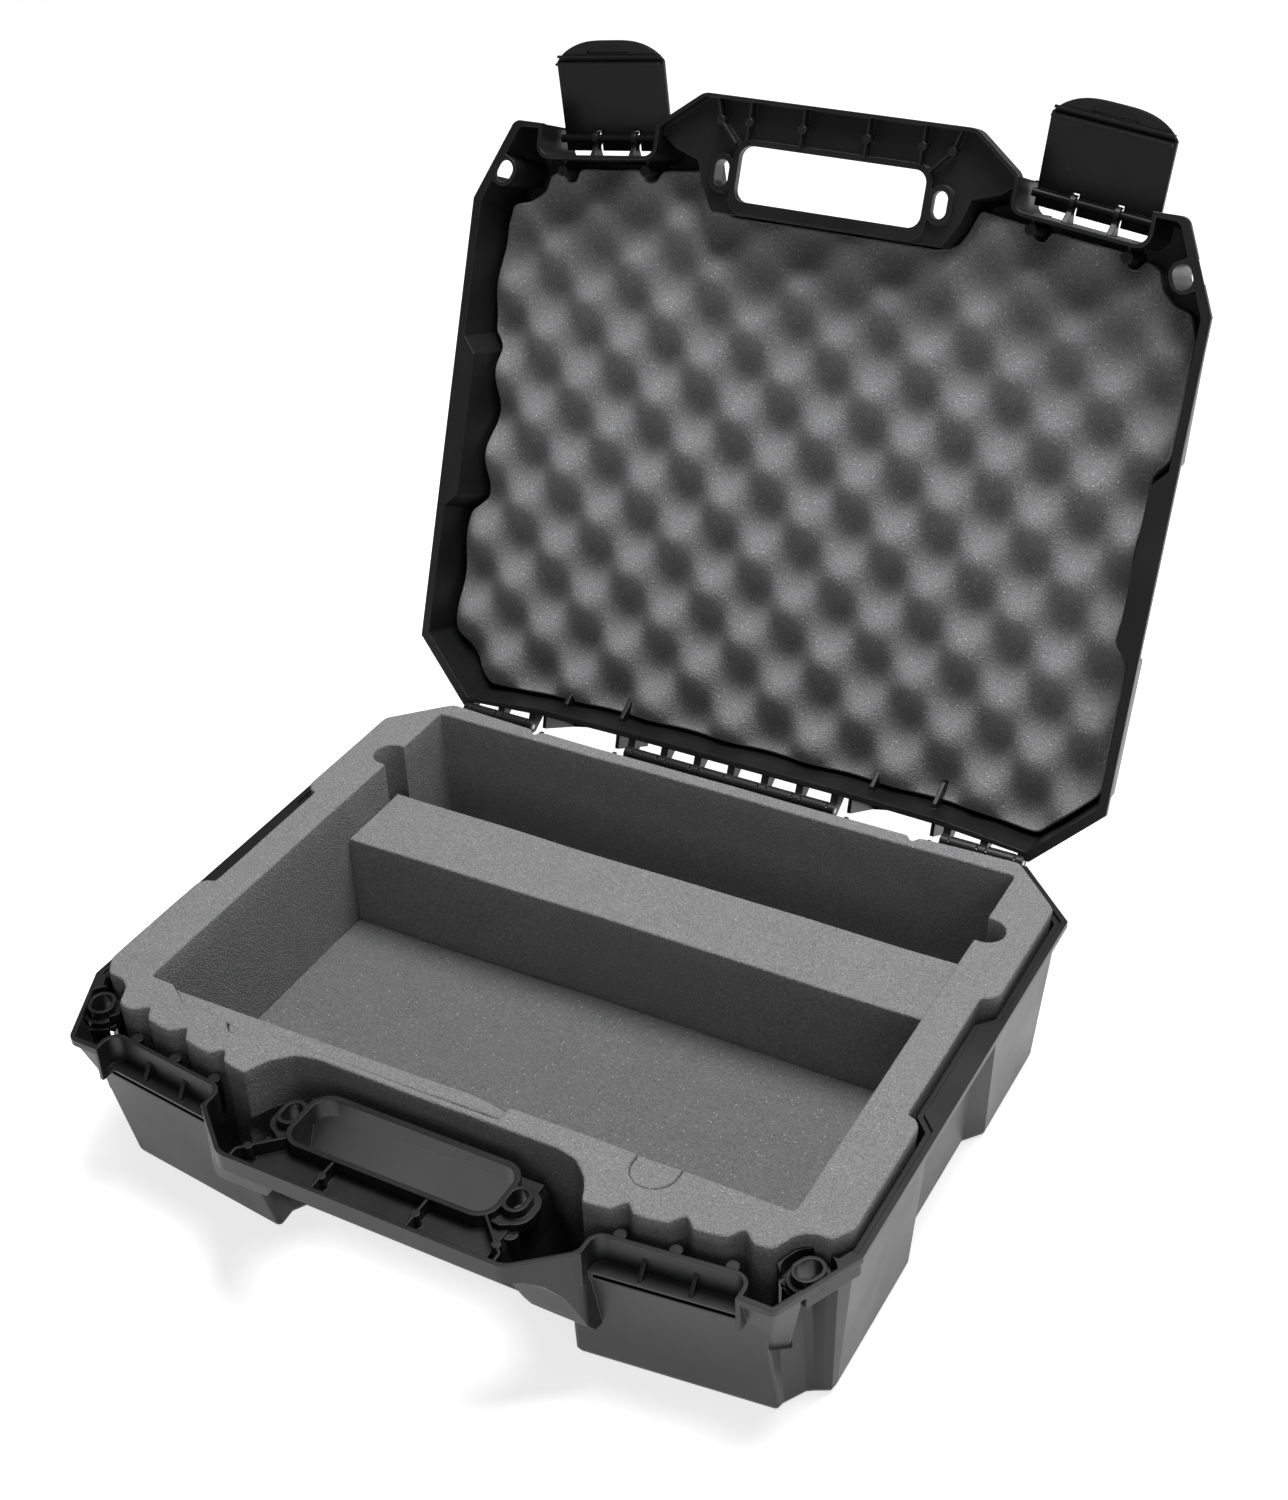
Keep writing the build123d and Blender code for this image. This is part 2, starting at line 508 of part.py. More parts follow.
def lid_shell():
    top, crown = whole(LID_TOP), whole(LID_CROWN)
    rounds = LID_ROUND + LID_ROUND[::-1]
    high = LID_DEPTH
    tub = hopper([(top, RIM_GAP, rounds), (crown, high - 3.2, rounds), (inset(crown, 0.9), high - 1.0, rounds),
                  (inset(crown, 3.0), high, rounds)])
    cavity = lid_room(0.0)
    tray, tray_hollow = handle_tray(315.0, BAND_LID, RIM_GAP, TRAY_LID, RIM_GAP - 1, TRAY_LID - WALL, 120.0)
    shell = merge(tub, [tray, prism(whole(RIM + [(80.0, BAND_LID)]), RIM_GAP, FLANGE, RIM_ROUND)])
    shell = merge(shell, rear_feet(1.0, high, 9.0) + knuckles(True))
    shell = carve(shell, [cavity, tray_hollow])

    # skin round the latch pockets and the padlock channels
    u0, u1 = POCKET_ENDS
    skins = both(front_strip(u0 - WALL, u1 + WALL, 0.2, POCKET_LID + WALL, RIM_GAP, high, POCKET_ROUND + WALL) & tub)
    skins += [lock_channel(side, LOCK_RING, RIM_GAP, high - 0.5) & tub for side in (-1, 1)]
    shell = merge(shell, skins)
    pockets = both(front_strip(u0, u1, 2.0, POCKET_LID, -1.0, high + 1, POCKET_ROUND))
    pockets += both(front_strip(u0, u1, -3.0, 2.1, -1.0, LATCH_W + 3.2))
    shell = carve(shell, pockets)
    shell = carve(shell, [lock_channel(side, 0.0, NICHE, high + 1) for side in (-1, 1)])

    # hooks, bosses behind the pockets and fins at the rear wall
    for side in (-1, 1):
        shell = merge(shell, [latch_frame(side, hook) for hook in latch_hooks()])
    for u, v in BOSSES:
        shell = merge(shell, both(Pos(u, -v, 25.0) * Cylinder(3.2, 30.0)))
        shell = merge(shell, both(box(u - 0.8, u + 0.8, v, v + 8.4, 12.0, 40.0)))
    for u in FINS:
        shell = merge(shell, both(side_plate([(12.0, 14.0), (15.5, 14.0), (26.5, 24.0), (26.5, 40.5),
                                              (12.0, 40.5)], u, 2.4)))

    # ring, ears and ribs of the handle
    sunk = RIM_GAP + RING_SUNK
    fittings = [round_ring(RING_LID, sunk, TRAY_LID)] + [ear(side, EAR_LID, 3.2, sunk, TRAY_LID) for side in (-1, 1)]
    fittings += handle_ribs((19.0, 51.0), ((57.0, 354.0), (68.0, 365.5), (71.5, 377.6)), 366.0,
                            (357.4, BAND_LID), RIM_GAP + 0.6, TRAY_LID)
    fittings.append(ear(-1, EAR_LID, WALL, sunk, 15.0))
    shell = merge(shell, fittings)
    shell = carve(shell, [round_ring(HOLE_LID, -1.0, 60.0)] + [ear(side, EAR_LID, 0.0, -1.0, 60.0) for side in (-1, 1)])
    shell = carve(shell, [lock_tube(side, 0.0, -1.0, 60.0) for side in (-1, 1)])
    shell = carve(shell, hinge_bores(PIN_R + PIN_CLEARANCE))
    return shell


# ---------------------------------------------------------------- latches and pins
def latch():
    """Latch in its own frame: axis along x, front to -y, hanging down when closed."""
    half = LATCH_HALF
    rim = Spline((half, 0, -43.0), (27.2, 0, -49.4), (18.0, 0, -53.2), (0, 0, -54.5), (-18.0, 0, -53.2),
                 (-27.2, 0, -49.4), (-half, 0, -43.0))
    top = Polyline((-half, 0, -43.0), (-half, 0, TOE), (half, 0, TOE), (half, 0, -43.0))
    outer = LATCH_INNER + LATCH_THICK
    plate = extrude(Pos(0, -outer, 0) * make_face([rim, top]), amount=LATCH_THICK, dir=(0, 1, 0))
    block = Pos(0, -outer / 2, -0.5) * Box(2 * half, outer, 3.4)
    rounding = Rot(0, 90, 0) * Cylinder(outer, 2 * half)
    plate = plate + (block & rounding)
    slots = []
    for x in (-HOOK_X, HOOK_X):
        slots.append(Pos(x, 0, 0) * (Rot(0, 90, 0) * Cylinder(HOOK_R + 0.4, HOOK_WIDE + 0.6)))
        slots.append(Pos(x, -4.0, -1.8) * Box(HOOK_WIDE + 0.6, 6.0, 7.0))
        slots.append(Pos(x, -4.0, TOE / 2 + 0.5) * Box(HOOK_WIDE + 0.6, 12.0, TOE + 1.0))
    plate = carve(plate, slots)
    rod = Rot(0, 90, 0) * Cylinder(LATCH_ROD_R, 2 * LATCH_ROD_HALF)
    ridge = Pos(0, -LATCH_INNER + RIDGE_OUT / 2 - 0.2, -42.6) * Box(66.0, RIDGE_OUT + 0.4, 1.2)
    guide = Pos(0, -LATCH_INNER + RIDGE_LOW / 2 - 0.2, -46.15) * Box(66.0, RIDGE_LOW + 0.4, 1.3)
    scoop = Pos(-0.5, -LATCH_INNER, -47.8) * (Rot(90, 0, 0) * extrude(Ellipse(13.5, 4.8), amount=0.9))
    scoop = scoop & Pos(0, 0, -57.8) * Box(60.0, 20.0, 20.0)
    return plate + rod + ridge + guide - scoop


def hinge_pin(centres):
    """Pin from the first to the last lid knuckle of a hinge group."""
    u0 = centres[0] - HINGE_PITCH / 2 - LID_KNUCKLE / 2
    u1 = centres[-1] + HINGE_PITCH / 2 + LID_KNUCKLE / 2
    return Pos((u0 + u1) / 2, 0, 0) * (Rot(0, 90, 0) * Cylinder(PIN_R, u1 - u0))


# ---------------------------------------------------------------- foam
def foam_notches():
    """Cuts in the rim of the base foam round the bosses, and at the rear edge."""
    cuts = []
    for points in (((177.3, 326.0), (169.4, 318.4), (163.6, 328.4)), ((149.6, 330.4), (142.1, 322.8), (136.4, 332.4)),
                   ((121.2, 334.6), (114.5, 327.4), (109.2, 337.0))):
        (a, b, c) = points
        cuts += both(prism([a, b, c, (c[0] - 1.5, c[1] + 22.0), (a[0] + 2.0, a[1] + 22.0)], -90.0, 20.0))
    for u in (-84.0, 122.0):
        cuts.append(prism([(u - 6.0, 8.0), (u + 5.0, 8.0), (u + 1.0, 17.5), (u - 1.0, 17.5)], -90.0, 20.0))
    return cuts


def foam_base_insert():
    low = PAD_TOP + FOAM_GAP
    outline = whole(FOAM)
    room = merge(base_room(FOAM_GAP), [handle_end(side, WALL + FOAM_GAP) for side in (-1, 1)])
    block = (room & prism(outline, low, 0.0)) + prism(outline, 0.0, FOAM_TOP)
    hollow = Pos(0, -(CAVITY_BACK + CAVITY_FRONT) / 2, 0) * Box(
        2 * CAVITY_HALF, CAVITY_FRONT - CAVITY_BACK, 300.0)
    holes = [hollow] + both(Pos(188.0, -73.0, 0) * Cylinder(10.0, 300.0))
    holes.append(Pos(ROUND_U, -ROUND_V, FOAM_TOP) * Cylinder(ROUND_R, 2 * ROUND_DEPTH))
    holes.append(strip_block(0.0))
    return carve(block, holes + foam_notches())


def strip_block(gap):
    """Front strip of the base foam with its round tab, shrunk by a gap."""
    low = FOAM_TOP - STRIP_DEEP + gap
    back = CAVITY_FRONT - (2.0 if gap == 0 else 0.0)
    lean = STRIP_LEAN / (STRIP_V - CAVITY_FRONT)
    strip = prism([(gap - STRIP_LEFT + lean * (back - CAVITY_FRONT), back), (STRIP_RIGHT - gap, back),
                   (STRIP_RIGHT - gap, STRIP_V - gap), (gap - STRIP_LEFT + STRIP_LEAN, STRIP_V - gap)],
                  low, FOAM_TOP + 5.0)
    tab = Pos(-ROUND_U, -ROUND_V, low) * extrude(Circle(ROUND_R - gap), amount=STRIP_DEEP + 5.0 - gap)
    return strip + (tab & box(-230, 230, back, 400, -200, 50))


def foam_front_strip():
    """Separate foam strip, pressed a little lower at its left end."""
    block = strip_block(FOAM_GAP)
    drop = Pos(0, 0, FOAM_TOP) * (Rot(0, -0.9, 0) * Pos(60.0, 0, 10.0 - 3.0) * Box(500.0, 1000.0, 20.0))
    return block - drop


def foam_round_plug():
    plug = Pos(ROUND_U, -ROUND_V, FOAM_TOP - ROUND_DEPTH / 2) * Cylinder(ROUND_R - FOAM_GAP, ROUND_DEPTH - 0.3)
    return plug & box(0, 230, CAVITY_FRONT, 400, -200, 50)


def foam_bottom_pad():
    return base_room(FOAM_GAP) & box(-230, 230, 0, 400, -RIM_HEIGHT, PAD_TOP)


def foam_divider():
    low = PAD_TOP + FOAM_GAP
    return box(-CAVITY_HALF + 0.4, CAVITY_HALF - 0.4, DIVIDER_BACK, DIVIDER_FRONT, low, DIVIDER_TOP)


def crest(u, v):
    """Height of the wavy face of the lid foam."""
    return CREST_MID + CREST_AMPLITUDE * cos(2 * pi * (u - CREST_U) / CREST_PITCH_U) * cos(
        2 * pi * (v - CREST_V) / CREST_PITCH_V)


def foam_lid_pad():
    nu, nv = 65, 53
    rows = []
    for i in range(nu):
        u = -214.0 + 428.0 * i / (nu - 1)
        rows.append([Vector(u, -(6.0 + 338.0 * j / (nv - 1)), crest(u, 6.0 + 338.0 * j / (nv - 1)))
                     for j in range(nv)])
    face = Face.make_surface_from_array_of_points(rows, tol=0.05)
    wave = extrude(face, amount=60.0, dir=(0, 0, 1))
    pad = prism(whole(PAD), 5.0, LID_PAD_BACK) & lid_room(FOAM_GAP) & wave
    cuts = [lock_channel(side, WALL + FOAM_GAP, 0.0, 60.0) for side in (-1, 1)]
    for u, v in BOSSES:
        cuts += both(Pos(u, -v, 20.0) * Cylinder(4.0, 60.0))
        cuts += both(box(u - 2.0, u + 2.0, v, v + 20.0, -10.0, 60.0))
    for u in FINS:
        cuts += both(box(u - 1.8, u + 1.8, 0.0, 27.5, -10.0, 60.0))
    return carve(pad, cuts)


# ---------------------------------------------------------------- nodes
def main():
    save(as_base(base_shell()), "base_shell")
    save(as_lid(lid_shell()), "lid_shell")
    for side, name in ((-1, "latch_left"), (1, "latch_right")):
        save(as_lid(latch_frame(side, Rot(-LATCH_OPEN, 0, 0) * latch())), name)
    for name, centres in HINGE_GROUPS.items():
        save(as_base(hinge_pin(centres)), "hinge_pin_" + name)
    save(as_base(foam_base_insert()), "foam_base_insert")
    save(as_base(foam_front_strip()), "foam_front_strip")
    save(as_base(foam_round_plug()), "foam_round_plug")
    save(as_base(foam_bottom_pad()), "foam_bottom_pad")
    save(as_base(foam_divider()), "foam_divider")
    save(as_lid(foam_lid_pad()), "foam_lid_pad")


if __name__ == "__main__":
    main()
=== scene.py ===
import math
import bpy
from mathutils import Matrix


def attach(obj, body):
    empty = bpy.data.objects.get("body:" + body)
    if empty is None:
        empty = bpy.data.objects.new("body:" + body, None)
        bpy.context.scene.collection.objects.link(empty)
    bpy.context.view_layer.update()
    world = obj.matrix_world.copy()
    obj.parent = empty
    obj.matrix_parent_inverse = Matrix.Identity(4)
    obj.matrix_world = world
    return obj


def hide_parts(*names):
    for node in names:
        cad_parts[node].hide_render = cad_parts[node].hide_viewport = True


bl_info = {
    "name": "Hinged equipment case",
    "version": (1, 0, 0),
    "blender": (4, 5, 0),
    "location": "3D View > Sidebar > Case",
    "description": "Dresses the frame of a moulded case with cut foam, plastic finishes and a stage",
    "category": "Object",
}

import bpy
import numpy as np
from bpy.props import FloatProperty, FloatVectorProperty, PointerProperty
from mathutils import Matrix, Vector
from mathutils.geometry import delaunay_2d_cdt

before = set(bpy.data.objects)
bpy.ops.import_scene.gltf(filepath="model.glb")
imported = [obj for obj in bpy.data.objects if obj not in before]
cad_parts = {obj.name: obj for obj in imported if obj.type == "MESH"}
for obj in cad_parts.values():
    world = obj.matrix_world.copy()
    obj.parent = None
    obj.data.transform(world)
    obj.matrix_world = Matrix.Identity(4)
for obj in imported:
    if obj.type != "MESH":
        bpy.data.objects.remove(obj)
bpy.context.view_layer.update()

# Working coordinates, in millimetres: u to the right, v forwards from the hinge axis and w up from
# it, with the case shut.  The hinge axis lies across the rear of the base, level with its rim.
HINGE_Y, HINGE_Z, LID_OPEN = 190.0, 95.0, math.radians(111.35)

# Outlines of the foam, right half, from the rear to the front
INSERT = [(70.0, 13.9), (118.5, 13.4), (121.0, 17.5), (123.0, 17.5), (125.0, 13.3), (182.6, 10.8),
          (212.8, 41.0), (213.1, 119.0), (208.6, 124.4), (205.1, 124.8), (205.1, 219.2), (209.4, 219.6),
          (213.1, 223.9), (213.1, 297.0), (206.4, 307.2),
          (200.5, 307.2), (195.0, 308.6), (190.8, 312.2), (185.5, 324.0), (176.6, 325.3), (169.4, 318.4),
          (164.4, 327.1), (148.7, 329.5), (142.1, 322.8), (137.1, 331.2), (120.4, 333.7), (114.5, 327.4),
          (109.9, 335.3), (95.5, 337.4), (93.0, 330.6), (88.8, 323.3), (79.8, 315.4), (68.7, 313.0)]
LID_PAD = [(70.0, 16.3), (130.0, 15.5), (179.9, 12.1), (209.3, 41.8), (209.3, 116.3), (201.5, 125.6),
           (201.5, 217.4), (209.3, 226.6), (209.3, 290.0), (203.5, 302.4), (192.6, 305.0), (186.2, 312.0),
           (183.4, 322.2), (174.0, 325.4), (171.5, 319.8), (165.5, 320.6), (163.5, 328.2), (120.5, 332.9),
           (118.2, 326.4), (112.2, 327.4), (110.0, 334.0), (82.9, 338.1), (79.7, 331.1), (72.2, 317.9),
           (64.0, 314.7)]
FLOOR_PAD = [(69.0, 19.2), (130.0, 18.6), (176.2, 15.6), (206.0, 45.6), (206.0, 113.0), (197.8, 124.0),
             (197.8, 207.0), (206.0, 218.0), (206.0, 300.0), (188.0, 324.0), (96.0, 334.0), (80.0, 317.0)]
CAVITY = (184.5, 23.0, 299.0)              # half width, rear and front of the well in the insert
FOAM_TOP, WELL_FLOOR, DIVIDER_TOP = 9.0, -77.5, -17.0
PAD_BOTTOM, LID_PAD_BACK = -92.6, 39.4     # hidden faces of the bottom pad and the lid foam
DIVIDER_REAR, DIVIDER_FRONT = 75.2, 125.8  # long sides of the divider
NOTCH = (188.0, 73.0, 10.0)                # thumb notches in the sides of the well
NOTCH_MOUTH = 9.4                          # half width of a thumb notch where it meets the well
ROUND = (116.0, 305.0, 12.0)               # round cuts in the front edge of the well
STRIP = (-170.0, 34.0, 309.0)              # ends and front of the loose strip
STRIP_LEAN = 14.0                          # how far its slanted left end runs in
STRIP_DEPTH, PLUG_DEPTH = 59.0, 39.5       # heights of the loose strip and the round plug
CREST = (23.8, 6.2, 52.85, 50.8, 11.9, 281.0)   # middle height, swing, two pitches, a dip's place
BLOCK_GAP = 0.2                            # clearance between foam faces that meet

# Stage and camera, in metres and degrees
WHITE = (1.0, 1.0, 1.0, 1.0)
FLOOR_HALF, FLOOR_Z = 6.0, -0.0003
FLOOR_COLOUR, FLOOR_GLOW = (0.8, 0.8, 0.8, 1.0), 0.72
LAMP_TARGET, LAMP_SIZE = (0.0, 0.1, 0.1), 1.0
KEY_PLACE, SIDE_PLACE = (0.25, 0.35, 2.0), (0.9, -1.9, 0.9)
CAMERA_PLACE, CAMERA_TURN = (0.47925, -0.74113, 0.82478), (30.473, 34.648, -2.624)
CAMERA_LENS, CAMERA_SENSOR, CAMERA_SHIFT = 52.44, 36.0, (0.0115, 0.0171)

# The well floor's foam is darkened as painted shade.
MATERIAL_NAMES = {"foam": "cut_grey_foam", "crate": "egg_crate_foam", "floor": "well_floor_foam_with_painted_shade",
                  "shell": "black_shell_plastic", "latch": "black_latch_plastic", "steel": "hinge_steel"}


# ---------------------------------------------------------------- places
def in_base(points):
    """Millimetre points (u, v, w) to metres in the part's frame: y = 190 - v, z = 95 + w."""
    p = np.asarray(points, float)
    return np.stack([p[:, 0], HINGE_Y - p[:, 1], HINGE_Z + p[:, 2]], 1) / 1000.0


def in_lid(points):
    """The same for the open lid: v and w are turned about the hinge axis by the opening angle."""
    p = np.asarray(points, float)
    c, s = math.cos(LID_OPEN), math.sin(LID_OPEN)
    y = HINGE_Y - p[:, 1] * c + p[:, 2] * s
    z = HINGE_Z + p[:, 1] * s + p[:, 2] * c
    return np.stack([p[:, 0], y, z], 1) / 1000.0


# ---------------------------------------------------------------- outlines and surfaces
def whole(half):
    """Closed outline from its right half, the left half mirrored and run backwards."""
    right = np.asarray(half, float)
    return np.concatenate([right, right[::-1] * (-1.0, 1.0)])


def resample(points, step):
    """Points along a closed outline: each side is divided evenly into parts no longer than step."""
    p = np.asarray(points, float)
    q = np.roll(p, -1, 0)
    counts = np.maximum(1, np.ceil(np.hypot(*(q - p).T) / step).astype(int))
    side = np.repeat(np.arange(len(p)), counts)
    share = np.concatenate([np.arange(n) / n for n in counts])[:, None]
    return p[side] * (1 - share) + q[side] * share


def soften(points, rounds, passes):
    """Outline with its corners eased: a pass moves each point by a share to its neighbours' middle."""
    p = points.copy()
    for _ in range(passes):
        p += rounds * ((np.roll(p, 1, 0) + np.roll(p, -1, 0)) / 2 - p)
    return p


def moved_in(points, distance):
    """Outline shifted to its left by a distance along the mitred normals of its two sides."""
    p = np.asarray(points, float)
    a = p - np.roll(p, 1, 0)
    b = np.roll(p, -1, 0) - p
    a /= np.hypot(*a.T)[:, None]
    b /= np.hypot(*b.T)[:, None]
    na, nb = np.stack([-a[:, 1], a[:, 0]], 1), np.stack([-b[:, 1], b[:, 0]], 1)
    k = distance / np.maximum(0.5, 1 + (na * nb).sum(1))
    return p + (na + nb) * k[:, None]


def inside(points, loop):
    """Whether points lie in a closed outline: a ray to the right crosses it an odd number of times."""
    x, y = points[:, 0][:, None], points[:, 1][:, None]
    ax, ay = loop[:, 0][None], loop[:, 1][None]
    bx, by = np.roll(loop[:, 0], -1)[None], np.roll(loop[:, 1], -1)[None]
    rise = np.where(np.abs(by - ay) < 1e-12, 1e-12, by - ay)
    return (((ay > y) != (by > y)) & (x < (bx - ax) * (y - ay) / rise + ax)).sum(1) % 2 == 1


def cap(loops, spacing):
    """Triangles over the area between outlines, with a staggered lattice of points inside it.

    Returns the lattice points and the triangles; the loops' own points come first, in order."""
    border = np.concatenate(loops)
    ends, start = [], 0
    for loop in loops:
        index = start + np.arange(len(loop))
        ends.append(np.stack([index, np.roll(index, -1)], 1))
        start += len(loop)
    ends = np.concatenate(ends)
    extra = np.zeros((0, 2))
    if spacing:
        low, high = border.min(0), border.max(0)
        gx, gy = np.meshgrid(np.arange(low[0], high[0], spacing), np.arange(low[1], high[1], spacing * 0.866))
        gx[1::2] += spacing / 2
        extra = np.stack([gx.ravel(), gy.ravel()], 1)
        keep = inside(extra, loops[0])
        for loop in loops[1:]:
            keep &= ~inside(extra, loop)
        extra = extra[keep]
        gap = np.concatenate([np.hypot(*(part[:, None] - border[None]).transpose(2, 0, 1)).min(1)
                              for part in np.array_split(extra, 40)])
        extra = extra[gap > spacing * 0.45]
    points = np.concatenate([border, extra])
    made = delaunay_2d_cdt([Vector(p) for p in points], ends.tolist(), [], 0, 1e-6)
    faces = np.array(made[2])
    back = np.array([source[0] if source else -1 for source in made[3]])
    faces = back[faces]
    middle = points[faces].mean(1)
    keep = inside(middle, loops[0])
    for loop in loops[1:]:
        keep &= ~inside(middle, loop)
    faces = faces[keep]
    a, b, c = (points[faces[:, i]] for i in range(3))
    turn = (b[:, 0] - a[:, 0]) * (c[:, 1] - a[:, 1]) - (b[:, 1] - a[:, 1]) * (c[:, 0] - a[:, 0])
    faces[turn > 0] = faces[turn > 0][:, ::-1]
    return extra, faces


def cut_block(walls, holes, top, edge, spacing, seams=6):
    """Closed surface of a block cut from foam.

    walls and holes are lists of (height, outline) rings from the bottom to the top of a wall, all
    with the same number of points.  The top edge is a quarter round of radius edge: ring k is moved
    in by edge (1 - sin a) and up by edge cos a.  top(u, v) is the height of the top face, and the
    rings below it follow it down by their own share of the height."""
    points, quads, triangles = [], [], []
    lasts, firsts, count = [], [], 0
    turns = np.linspace(0, math.pi / 2, 5)
    for rings in [walls] + holes:
        sign = 1.0 if rings is walls else -1.0
        (w0, p0), rest = rings[0], rings[1:]
        stack = [np.column_stack([p0, np.full(len(p0), w0)])]
        for w1, p1 in rest:
            last_one = w1 == rest[-1][0]
            part = seams if last_one else 1
            for k in range(1, part + 1):
                share = k / part
                plan = p0 + (p1 - p0) * share
                crown = top(p1[:, 0], p1[:, 1]) - edge if last_one else np.full(len(p1), w1)
                stack.append(np.column_stack([plan, w0 + (crown - w0) * share]))
            w0, p0 = w1, p1
        for a in turns[1:]:
            plan = moved_in(p0, sign * edge * (1 - math.cos(a)))
            stack.append(np.column_stack([plan, top(p0[:, 0], p0[:, 1]) - edge * (1 - math.sin(a))]))
        n = len(p0)
        for k in range(len(stack) - 1):
            i = count + k * n + np.arange(n)
            j = count + k * n + np.roll(np.arange(n), -1)
            quads.append(np.stack([i, i + n, j + n, j], 1))
        firsts.append(count + np.arange(n))
        count += n * len(stack)
        lasts.append(count - n + np.arange(n))
        points += stack
    loops = [points_of[:, :2] for points_of in (np.concatenate(points)[index] for index in lasts)]
    extra, faces = cap(loops, spacing)
    number = np.concatenate(lasts + [count + np.arange(len(extra))])
    triangles.append(number[faces][:, ::-1])
    everything = np.concatenate(points + [np.column_stack([extra, top(extra[:, 0], extra[:, 1])])])
    _, faces = cap([everything[index][:, :2] for index in firsts], 0)
    triangles.append(np.concatenate(firsts)[faces])
    return everything, np.concatenate(quads), np.concatenate(triangles)


def add_mesh(name, points, quads, triangles, material, smooth=40.0):
    """Object at the origin from metre points, four-sided and three-sided faces."""
    mesh = bpy.data.meshes.new(name)
    mesh.vertices.add(len(points))
    mesh.vertices.foreach_set("co", np.asarray(points, np.float32).ravel())
    corners = np.concatenate([quads.ravel(), triangles.ravel()]).astype(np.int32)
    sizes = np.concatenate([np.full(len(quads), 4), np.full(len(triangles), 3)])
    mesh.loops.add(len(corners))
    mesh.loops.foreach_set("vertex_index", corners)
    mesh.polygons.add(len(sizes))
    mesh.polygons.foreach_set("loop_start", np.concatenate([[0], np.cumsum(sizes)[:-1]]).astype(np.int32))
    mesh.update(calc_edges=True)
    mesh.validate()
    mesh.shade_smooth()
    mesh.set_sharp_from_angle(angle=math.radians(smooth))
    mesh.materials.append(material)
    made = bpy.data.objects.new(name, mesh)
    bpy.context.scene.collection.objects.link(made)
    return made


def foam_piece(name, node, body, place, block, kind="foam"):
    """A finished foam piece that stands for its node and rides on its body."""
    points, quads, triangles = block
    made = add_mesh(name, place(points), quads, triangles, material_of(kind))
    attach(made, body)
    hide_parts(node)
    return made


def ripple(u, v, size, seed):
    """Slow unevenness, a sum of three waves of different lengths and headings."""
    total = np.zeros_like(u)
    for k, (length, heading) in enumerate(((97.0, 0.4), (61.0, 2.1), (38.0, 1.2))):
        along = u * math.cos(heading + seed) + v * math.sin(heading + seed)
        total += np.sin(2 * math.pi * along / length + 1.7 * k + seed) / (k + 1)
    return total * size / 1.83


# ---------------------------------------------------------------- materials
def new_group(name, inputs, outputs):
    """Empty shader group with named sockets: (name, type, default) for each input."""
    tree = bpy.data.node_groups.new(name, "ShaderNodeTree")
    for label, kind, default in inputs:
        socket = tree.interface.new_socket(label, in_out="INPUT", socket_type=kind)
        socket.default_value = default
    for label, kind in outputs:
        tree.interface.new_socket(label, in_out="OUTPUT", socket_type=kind)
    return tree, tree.nodes.new("NodeGroupInput"), tree.nodes.new("NodeGroupOutput")


def node(tree, kind, links=(), **values):
    """Node with its settings, and its sockets either linked or set."""
    made = tree.nodes.new(kind)
    for key, value in values.items():
        setattr(made, key, value)
    for key, source in dict(links).items():
        if isinstance(source, bpy.types.NodeSocket):
            tree.links.new(source, made.inputs[key])
        else:
            made.inputs[key].default_value = source
    return made


def math_node(tree, operation, a, b=0.0, clamp=False):
    """Output of a Math node."""
    return node(tree, "ShaderNodeMath", {0: a, 1: b}, operation=operation, use_clamp=clamp).outputs[0]


def mix_colour(tree, factor, a, b):
    """Output of a Mix node between two colours, each a socket or a value."""
    made = node(tree, "ShaderNodeMix", {"Factor": factor}, data_type="RGBA")
    for index, source in ((6, a), (7, b)):
        if isinstance(source, bpy.types.NodeSocket):
            tree.links.new(source, made.inputs[index])
        else:
            made.inputs[index].default_value = source
    return made.outputs[2]


